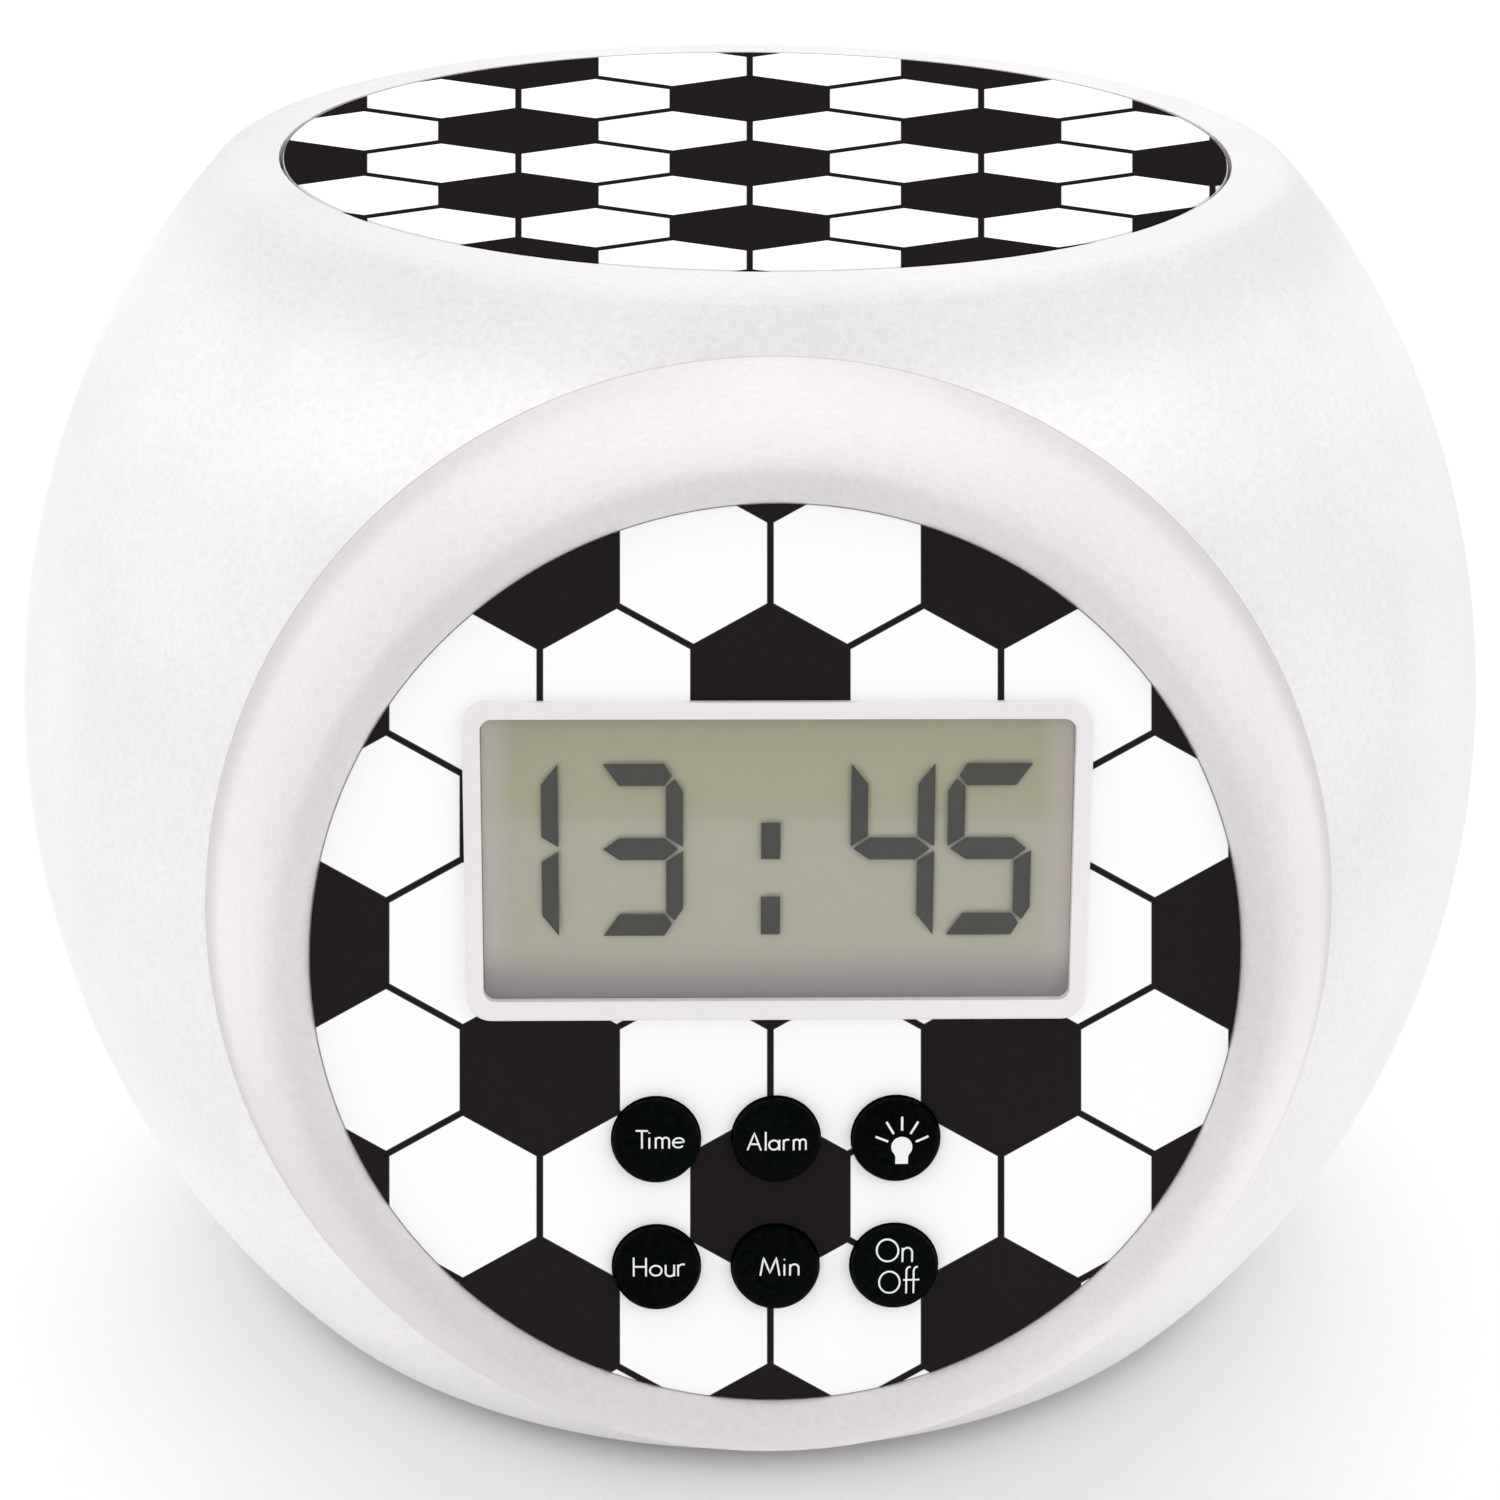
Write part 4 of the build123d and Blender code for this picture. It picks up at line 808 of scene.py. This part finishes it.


# %% Display materials
# The greener field above is a painted reflection, and the tints of the edges are painted light at the sides
# and painted shade along the bottom.
FIELD_CHANGE = (2 * MM, 4 * MM)  # heights between the lighter field below and the greener one above
SIDE_EDGE, BOTTOM_EDGE = 21.8 * MM, 10.6 * MM  # from the display's centre
SIDE_REACH, BOTTOM_REACH = 2.6 * MM, 4.4 * MM  # how far the tints of the edges reach in
reflector_material, tree, shader = new_material("display reflector")
vector = dial_vector(tree, dial_frame @ Vector((0, DISPLAY_CENTRE * MM, 0)))
at = xyz(vector)
from_side = calc("SUBTRACT", SIDE_EDGE, calc("ABSOLUTE", at["X"]))
from_bottom = calc("ADD", at["Y"], BOTTOM_EDGE)
cloud = noise(vector, 1500.0, 4.0)
field = (0.402, 0.388, 0.309)
# Painted reflection in the greener field above, painted light at the sides, painted shade along the bottom,
# then a random cloud.
for share, colour in (
    (fade(at["Y"], *FIELD_CHANGE, 0.0, 1.0), (0.355, 0.342, 0.224)),
    (fade(from_side, 0.0, SIDE_REACH, 0.6, 0.0), (0.58, 0.52, 0.52)),
    (fade(from_bottom, 0.0, BOTTOM_REACH, 0.95, 0.0), (0.245, 0.22, 0.243)),
    (product(cloud, 0.12), (0.25, 0.26, 0.2)),
):
    field = mix(share, field, colour)
feed(shader, "Base Color", field)
roughen(shader, cloud, 0.5, 0.65)
shader.inputs["Specular IOR Level"].default_value = 0.3

segment_ink = moulded_plastic("segment ink", (0.031, 0.030, 0.026), 0.5, 5000.0, 0.000004, 0.15)
principled(segment_ink).inputs["Specular IOR Level"].default_value = 0.2

SHADE_COVER = 0.2
shade_material, tree, shader = new_material("digit shade")
thickness = add_node(tree, "ShaderNodeAttribute", attribute_name="density").outputs["Fac"]
feed(shader, "Alpha", product(thickness, SHADE_COVER))
shader.inputs["Base Color"].default_value = (0.05, 0.05, 0.04, 1)
shader.inputs["Roughness"].default_value = 0.9
shader.inputs["Specular IOR Level"].default_value = 0.0

glass_material, tree, shader = new_material("display glass")
feed(shader, "Alpha", spread(noise(object_vector(tree), 700.0), 0.02, 0.035))
shader.inputs["Base Color"].default_value = (0.75, 0.76, 0.72, 1)
shader.inputs["Roughness"].default_value = 0.12
print("display materials made")

# %% Reflector and glass
REFLECTOR_SIZE, GLASS_SIZE = (43.94, 21.54, 0.6), (43.9, 21.5, 0.9)  # width, height and corner
form = rounded_slab(*REFLECTOR_SIZE, REFLECTOR_BACK, REFLECTOR_FRONT, 0.05)
reflector = make_piece("lcd_reflector", form, reflector_material, "case", dial_frame)
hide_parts("display_panel")
form = rounded_slab(*GLASS_SIZE, GLASS_BACK, GLASS_FRONT, 0.06)
glass = make_piece("lcd_glass", form, glass_material, "case", dial_frame)
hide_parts("display_window")

# %% [markdown]
# ### The digits
#
# A seven-segment digit is drawn bar by bar. Where two lit bars meet at a corner, both are cut back and leave
# a thin gap. Where a bar's neighbour is off, its end runs to the outer corner as a point. The end of a bar
# is a short list of points, counted from its outer edge inwards and from its corner backwards, and one list
# serves both sides of a digit and both of its halves.

# %% Segment outlines
TOP, MIDDLE, BOTTOM = 15.68, 9.17, 2.5
ACROSS, ALONG = 1.27, 1.67  # widths of upright and level bars
UPRIGHT_START = ((0, 0.17), (ACROSS, 0.95))  # inwards, and away from the middle
UPRIGHT_CUT = ((ACROSS, 1.78), (0.62, 1.16), (0, 2.1))  # inwards, and back from the corner
UPRIGHT_POINT = ((ACROSS, 1.6), (0.02, 0))
LEVEL_CUT = ((0, 1.4), (0.92, 0.82), (ALONG, 1.37))
LEVEL_POINT = ((0, 0), (ALONG, 1.2))
LEFT_SLOPE, RIGHT_SLOPE, RIGHT_GAP = 1.2, 1.4, 0.35  # of the bar in the middle


def side_bar(edge, inward, half, cut):
    """An upright bar: outer edge, way inwards, +1 for the upper half, and whether its corner is cut."""
    corner = TOP if half > 0 else BOTTOM
    end = UPRIGHT_CUT if cut else UPRIGHT_POINT
    start = [(edge + inward * across, MIDDLE + half * away) for across, away in UPRIGHT_START]
    return start + [(edge + inward * across, corner - half * back) for across, back in end]


def level_end(corner, height, towards, inward, cut):
    """One end of the top or bottom bar, from its outer to its inner edge."""
    end = LEVEL_CUT if cut else LEVEL_POINT
    return [(corner + towards * back, height + inward * across) for across, back in end]


def level_bar(left, right, height, inward, cut_left, cut_right):
    """The top or bottom bar: its outer height, the way inwards, and which ends meet a lit bar."""
    left_end = level_end(left, height, 1, inward, cut_left)
    return left_end + level_end(right, height, -1, inward, cut_right)[::-1]


def middle_bar(left, right):
    """The bar in the middle, pointed at both ends."""
    low, high = MIDDLE - ALONG / 2, MIDDLE + ALONG / 2
    left_slope, right_slope = left + LEFT_SLOPE, right - RIGHT_SLOPE
    upper = [(left, MIDDLE), (left_slope, high), (right_slope, high)]
    return upper + [(right - RIGHT_GAP, MIDDLE), (right_slope, low), (left_slope, low)]


# %% Digits 13:45
ONE_SIDE, LEFT_GAP = -16.3, 0.2
THREE, FOUR, FIVE = (-13.0, -7.05), (5.42, 11.67), (12.64, 18.9)  # left and right sides
COLON_LEFT, COLON_RIGHT = -1.24, 0.19
COLON_HEIGHTS = ((8.39, 11.17), (2.57, 5.48))
outlines = [
    side_bar(ONE_SIDE, -1, 1, False),
    side_bar(ONE_SIDE, -1, -1, False),
    level_bar(*THREE, TOP, -1, False, True),
    side_bar(THREE[1], -1, 1, True),
    middle_bar(*THREE),
    side_bar(THREE[1], -1, -1, True),
    level_bar(*THREE, BOTTOM, 1, False, True),
    side_bar(FOUR[0], 1, 1, False),
    middle_bar(FOUR[0] + LEFT_GAP, FOUR[1]),
    side_bar(FOUR[1], -1, 1, False),
    side_bar(FOUR[1], -1, -1, False),
    level_bar(*FIVE, TOP, -1, True, False),
    side_bar(FIVE[0], 1, 1, True),
    middle_bar(FIVE[0] + LEFT_GAP, FIVE[1]),
    side_bar(FIVE[1], -1, -1, True),
    level_bar(*FIVE, BOTTOM, 1, False, True),
]
for low, high in COLON_HEIGHTS:
    outlines.append([(COLON_LEFT, low), (COLON_RIGHT, low), (COLON_RIGHT, high), (COLON_LEFT, high)])
segments = []
for outline in outlines:
    segment = bmesh.new()
    segment.faces.new([segment.verts.new((x * MM, y * MM, SEGMENT_BACK * MM)) for x, y in outline])
    thicken(segment, SEGMENT_THICKNESS)
    segments.append(segment)
make_piece("lcd_segments", joined(segments), segment_ink, "case", dial_frame)

# %% [markdown]
# On a real display the digits throw a faint shadow onto the reflector, up and to the right. Each bar gets a
# thin copy that is nearly clear. Its rim has no density and its middle has all of it, so that the shadow
# fades out.

# %% Shade behind the digits
SHADE_RIGHT, SHADE_UP, SHADE_BACK, SHADE_FADE = 0.34, 0.3, 0.1, 0.26
shade = bmesh.new()
density = shade.verts.layers.float.new("density")
for outline in outlines:
    corners = [(x + SHADE_RIGHT, y + SHADE_UP, SEGMENT_BACK - SHADE_BACK) for x, y in outline]
    face = shade.faces.new([shade.verts.new([value * MM for value in corner]) for corner in corners])
    bmesh.ops.inset_individual(shade, faces=[face], thickness=SHADE_FADE * MM)
    for vert in face.verts:
        vert[density] = 1.0
thicken(shade, 0.01)
make_piece("lcd_shade", shade, shade_material, "case", dial_frame)

# %% [markdown]
# ## Legends on the keys
#
# The keys' names are printed in thin strokes of one width. Letters of that kind are circles and straight
# lines, so a small stroke alphabet is enough: each letter is a few runs of points on a grid one capital
# high. A curve with a round bevel turns the runs into strokes. Each point is first dropped onto the key's
# dome, so the print bends with the key.

# %% A stroke alphabet
def arc(x, y, radius, start, stop, steps=12):
    """Points along an arc, angles in degrees."""
    angles = [math.radians(start + (stop - start) * i / steps) for i in range(steps + 1)]
    return [(x + radius * math.cos(a), y + radius * math.sin(a)) for a in angles]


def arch(x, radius):
    """The bend and the right leg of an n or an m."""
    return arc(x + radius, 0.62 - radius, radius, 180, 0, 8) + [(x + 2 * radius, 0)]


LETTERS = {  # strokes, and the letter's width
    "T": ([[(0, 1), (0.6, 1)], [(0.3, 1), (0.3, 0)]], 0.6),
    "i": ([[(0, 0), (0, 0.62)], [(0, 0.86), (0, 0.92)]], 0.0),
    "m": ([[(0, 0), (0, 0.62)], arch(0, 0.163), arch(0.326, 0.163)], 0.652),
    "e": ([[(0, 0.33), (0.54, 0.33)] + arc(0.27, 0.31, 0.27, 4, 320, 20)], 0.54),
    "A": ([[(0, 0), (0.36, 1), (0.72, 0)], [(0.13, 0.36), (0.59, 0.36)]], 0.72),
    "l": ([[(0, 0), (0, 1.08)]], 0.0),
    "a": ([arc(0.27, 0.31, 0.27, 0, 360, 24), [(0.56, 0), (0.56, 0.62)]], 0.56),
    "r": ([[(0, 0), (0, 0.62)], arc(0.2, 0.42, 0.2, 180, 60, 8)], 0.3),
    "H": ([[(0, 0), (0, 1)], [(0.56, 0), (0.56, 1)], [(0, 0.52), (0.56, 0.52)]], 0.56),
    "o": ([arc(0.27, 0.31, 0.27, 0, 360, 24)], 0.54),
    "u": (
        [[(0, 0.62), *arc(0.195, 0.195, 0.195, 180, 360, 10), (0.39, 0.62)], [(0.39, 0.3), (0.39, 0)]],
        0.39,
    ),
    "M": ([[(0, 0), (0.16, 1), (0.475, 0.14), (0.79, 1), (0.95, 0)]], 0.95),
    "n": ([[(0, 0), (0, 0.62)], arch(0, 0.21)], 0.42),
    "O": ([arc(0.47, 0.5, 0.47, 0, 360, 32)], 0.94),
    "f": ([[(0, 0)] + arc(0.17, 1.0, 0.17, 180, 85, 6), [(-0.14, 0.6), (0.26, 0.6)]], 0.0),
}
USUAL_GAP = 0.18
GAPS = {
    "Ti": 0.06, "ar": 0.23, "rm": 0.24, "Mi": 0.24, "Al": 0.25, "in": 0.28, "Of": 0.3, "im": 0.31, "ff": 0.33,
}


def word_strokes(word, left, right, baseline, capital):
    """The strokes of a word, fitted between two sides in millimetres."""
    starts = [0.0]
    for letter, following in zip(word, word[1:]):
        starts.append(starts[-1] + LETTERS[letter][1] + GAPS.get(letter + following, USUAL_GAP))
    stretch = (right - left) / (starts[-1] + LETTERS[word[-1]][1])
    return [
        [(left + (start + x) * stretch, baseline + y * capital) for x, y in run]
        for start, letter in zip(starts, word)
        for run in LETTERS[letter][0]
    ]


print("letters", "".join(sorted(LETTERS)))

# %% Strokes on a key
KEY_TOP = 77.8  # out along the dial's axis
KEY_FLAT, KEY_RADIUS, KEY_DOME = 1.2, 3.3, 0.8
LONGEST_STEP = 0.3  # between two points of a stroke


def dome_height(x, y):
    """Height of a key's dome at a place counted from its centre."""
    reach = min(1.0, max(0.0, math.hypot(x, y) - KEY_FLAT) / (KEY_RADIUS - KEY_FLAT))
    return KEY_TOP - KEY_DOME * (1 - math.sqrt(1 - reach * reach))


def stroke_form(name, runs, radius):
    """Round strokes along runs of points, as a bmesh. Points and radius are in millimetres."""
    curve = bpy.data.curves.new(name, "CURVE")
    curve.dimensions = "3D"
    curve.bevel_depth = radius * MM
    curve.bevel_resolution = 2
    curve.use_fill_caps = True
    for run in runs:
        spline = curve.splines.new("POLY")
        closed = len(run) > 2 and math.dist(run[0], run[-1]) < 1e-6
        points = run[:-1] if closed else run
        spline.points.add(len(points) - 1)
        for point, spot in zip(spline.points, points):
            point.co = (*(value * MM for value in spot), 1)
        spline.use_cyclic_u = closed
    holder = bpy.data.objects.new(name, curve)
    scene.collection.objects.link(holder)
    mesh = bpy.data.meshes.new_from_object(holder.evaluated_get(bpy.context.evaluated_depsgraph_get()))
    bpy.data.objects.remove(holder)
    form = bmesh.new()
    form.from_mesh(mesh)
    bmesh.ops.remove_doubles(form, verts=form.verts, dist=1e-7)
    return form


def on_key(run, centre, sink):
    """A run of points laid on a key's dome, with points added so that it bends with it."""
    laid = []
    for (x0, y0), (x1, y1) in zip(run, run[1:]):
        steps = max(1, round(math.dist((x0, y0), (x1, y1)) / LONGEST_STEP))
        laid += [(x0 + (x1 - x0) * i / steps, y0 + (y1 - y0) * i / steps) for i in range(steps)]
    laid.append(run[-1])
    return [(centre[0] + x, centre[1] + y, dome_height(x, y) - sink) for x, y in laid]


# %% Key legends
KEY_COLUMNS = (-9.12, 0.0, 9.12)
KEY_ROWS = {-13.6: ("time", "alarm", "light"), -23.9: ("hour", "minute", "on_off")}
LETTER_RADIUS, LETTER_SINK, LEGEND_CREASE = 0.1, 0.07, 60
words = {  # text, left and right side, baseline and height of a capital
    "time": [("Time", -1.53, 2.11, -0.3, 1.4)],
    "alarm": [("Alarm", -2.18, 2.21, -0.5, 1.37)],
    "hour": [("Hour", -1.72, 2.15, -0.3, 1.5)],
    "minute": [("Min", -1.18, 1.74, -0.3, 1.46)],
    "on_off": [("On", -1.4, 1.3, 0.74, 1.8), ("Off", -1.2, 1.44, -1.84, 1.86)],
}
spots = {key: (column, row) for row, keys in KEY_ROWS.items() for column, key in zip(KEY_COLUMNS, keys)}


def make_legend(key, form):
    """A legend that rides on its key."""
    make_piece(f"legend_{key}", form, legend_white, f"key_{key}", dial_frame, LEGEND_CREASE)


for key, lines in words.items():
    runs = [on_key(run, spots[key], LETTER_SINK) for line in lines for run in word_strokes(*line)]
    make_legend(key, stroke_form(key, runs, LETTER_RADIUS))

# %% [markdown]
# The lamp key has a picture in place of a word: a bulb with five rays. The bulb is a disc whose lowest part
# is pulled down into a neck, and the rays are strokes like those of the letters.

# %% Bulb legend
BULB_X, BULB_Y, BULB_RADIUS, BULB_RISE, BULB_SINK = 0.38, -0.27, 0.8, 0.04, 0.1
NECK_BELOW, SOCKET_BELOW = -0.6, -0.74  # points of the disc below these heights are pulled
NECK_HALF, NECK_TOP, NECK_FOOT = 0.48, -0.8, -1.36
RAY_RADIUS, RAY_SINK = 0.11, 0.05
RAYS = ((21, 1.13, 2.15), (58, 1.22, 2.3), (90, 1.3, 2.36), (121, 1.22, 2.3), (158, 1.13, 2.15))
rays = []
for angle, *ends in RAYS:
    turn = math.radians(angle)
    run = [(BULB_X + reach * math.cos(turn), BULB_Y + reach * math.sin(turn)) for reach in ends]
    rays.append(on_key(run, spots["light"], RAY_SINK))
ray_form = stroke_form("rays", rays, RAY_RADIUS)
bulb_form = bmesh.new()
disc = bmesh.ops.create_circle(bulb_form, cap_ends=True, radius=BULB_RADIUS * MM, segments=40)
for vert in disc["verts"]:
    if vert.co.y < NECK_BELOW * MM:
        height = NECK_FOOT if vert.co.y < SOCKET_BELOW * MM else NECK_TOP
        vert.co = (math.copysign(NECK_HALF * MM, vert.co.x), height * MM, 0)
bmesh.ops.remove_doubles(bulb_form, verts=bulb_form.verts, dist=1e-7)
thicken(bulb_form, BULB_RISE + BULB_SINK)
for vert in bulb_form.verts:
    x, y = vert.co.x / MM + BULB_X, vert.co.y / MM + BULB_Y
    height = dome_height(x, y) + (BULB_RISE if vert.co.z > 0 else -BULB_SINK)
    vert.co = Vector((spots["light"][0] + x, spots["light"][1] + y, height)) * MM
make_legend("light", joined([bulb_form, ray_form]))

# %% [markdown]
# ## Ridges on the battery cover
#
# Four ridges give the thumb a hold, and an arrow shows which way the cover comes off. Both start as a flat
# grid or a triangle, and each corner is then laid on the case's egg shape, whose radius depends on the
# height.

# %% Battery cover
EGG_RADIUS, EGG_MIDDLE, EGG_HALF = 70.0, 53.5, 76.6
SUNK = -0.2  # where the underside lies, below the cover's face
RIDGE_HEIGHTS = (45.0, 46.8, 48.6, 50.4)
RIDGE_LENGTH, RIDGE_WIDTH, RIDGE_LIFT = 16, 0.8, 0.35
ARROW, ARROW_LIFT = ((-1.8, 42.6), (1.8, 42.6), (0, 40.0)), 0.25


def on_egg(x, z, lift):
    """A point on the back of the case, lifted off it, all in millimetres."""
    radius = EGG_RADIUS * math.sqrt(1 - ((z - EGG_MIDDLE) / EGG_HALF) ** 2)
    return Vector((x, math.sqrt(radius**2 - x**2) + lift, z)) * MM


def raised_on_egg(form, lift):
    """Lays a flat form in x and z on the egg and gives it a body that is sunk in the cover."""
    outer = set(extruded_corners(form))
    for vert in form.verts:
        vert.co = on_egg(vert.co.x / MM, vert.co.z / MM, lift if vert in outer else SUNK)
    return form


holds = []
for height in RIDGE_HEIGHTS:
    ridge = bmesh.new()
    bmesh.ops.create_grid(ridge, x_segments=10, y_segments=1, size=0.5)
    for vert in ridge.verts:
        vert.co = (vert.co.x * RIDGE_LENGTH * MM, 0, (height + vert.co.y * RIDGE_WIDTH) * MM)
    holds.append(raised_on_egg(ridge, RIDGE_LIFT))
arrow = bmesh.new()
arrow.faces.new([arrow.verts.new((x * MM, 0, z * MM)) for x, z in ARROW])
holds.append(raised_on_egg(arrow, ARROW_LIFT))
make_piece("cover_ridges", joined(holds), case_white, "cover")

# %% [markdown]
# ## Springs under the snooze top
#
# Three wire springs carry the snooze top, and they get shorter when it is pressed. A circle of the wire's
# size is spun round the spring's axis and climbs a little at every step, which gives a helix with even coils.
# The springs stand in for the plain solid.

# %% Snooze springs
SPRING_FOOT, SPRING_TOP, SNOOZE_TRAVEL = 99.0, 106.6, 1.5
COIL_RADIUS, WIRE_RADIUS, COIL_TURNS, STEPS_PER_TURN = 3.1, 0.3, 4, 24
POST_CIRCLE, POST_ANGLES = 34.0, (90, 210, 330)


def wire_spring(x, y):
    """A spring that stands on the tray at a place given in millimetres."""
    form = bmesh.new()
    bmesh.ops.create_circle(form, radius=WIRE_RADIUS * MM, segments=12)
    bmesh.ops.rotate(form, cent=(0, 0, 0), matrix=Matrix.Rotation(math.pi / 2, 3, "X"), verts=form.verts)
    bmesh.ops.translate(form, vec=Vector((COIL_RADIUS, 0, SPRING_FOOT + WIRE_RADIUS)) * MM, verts=form.verts)
    steps = COIL_TURNS * STEPS_PER_TURN
    climb = (SPRING_TOP - SPRING_FOOT - 2 * WIRE_RADIUS) / steps
    bmesh.ops.spin(
        form,
        geom=form.verts[:] + form.edges[:],
        cent=(0, 0, 0),
        axis=(0, 0, 1),
        dvec=(0, 0, climb * MM),
        angle=2 * math.pi * COIL_TURNS,
        steps=steps,
        use_merge=False,
    )
    bmesh.ops.holes_fill(form, edges=[edge for edge in form.edges if edge.is_boundary])
    bmesh.ops.translate(form, vec=Vector((x, y, 0)) * MM, verts=form.verts)
    return form


places = [math.radians(angle) for angle in POST_ANGLES]
springs = joined([wire_spring(POST_CIRCLE * math.cos(a), POST_CIRCLE * math.sin(a)) for a in places])
coils = make_piece("snooze_coils", springs, spring_steel, "case")
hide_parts("snooze_springs")
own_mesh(coils)
print("coils from", [round(c / MM, 2) for c in map(min, zip(*(v.co for v in coils.data.vertices)))])

# %% Finish
low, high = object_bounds()
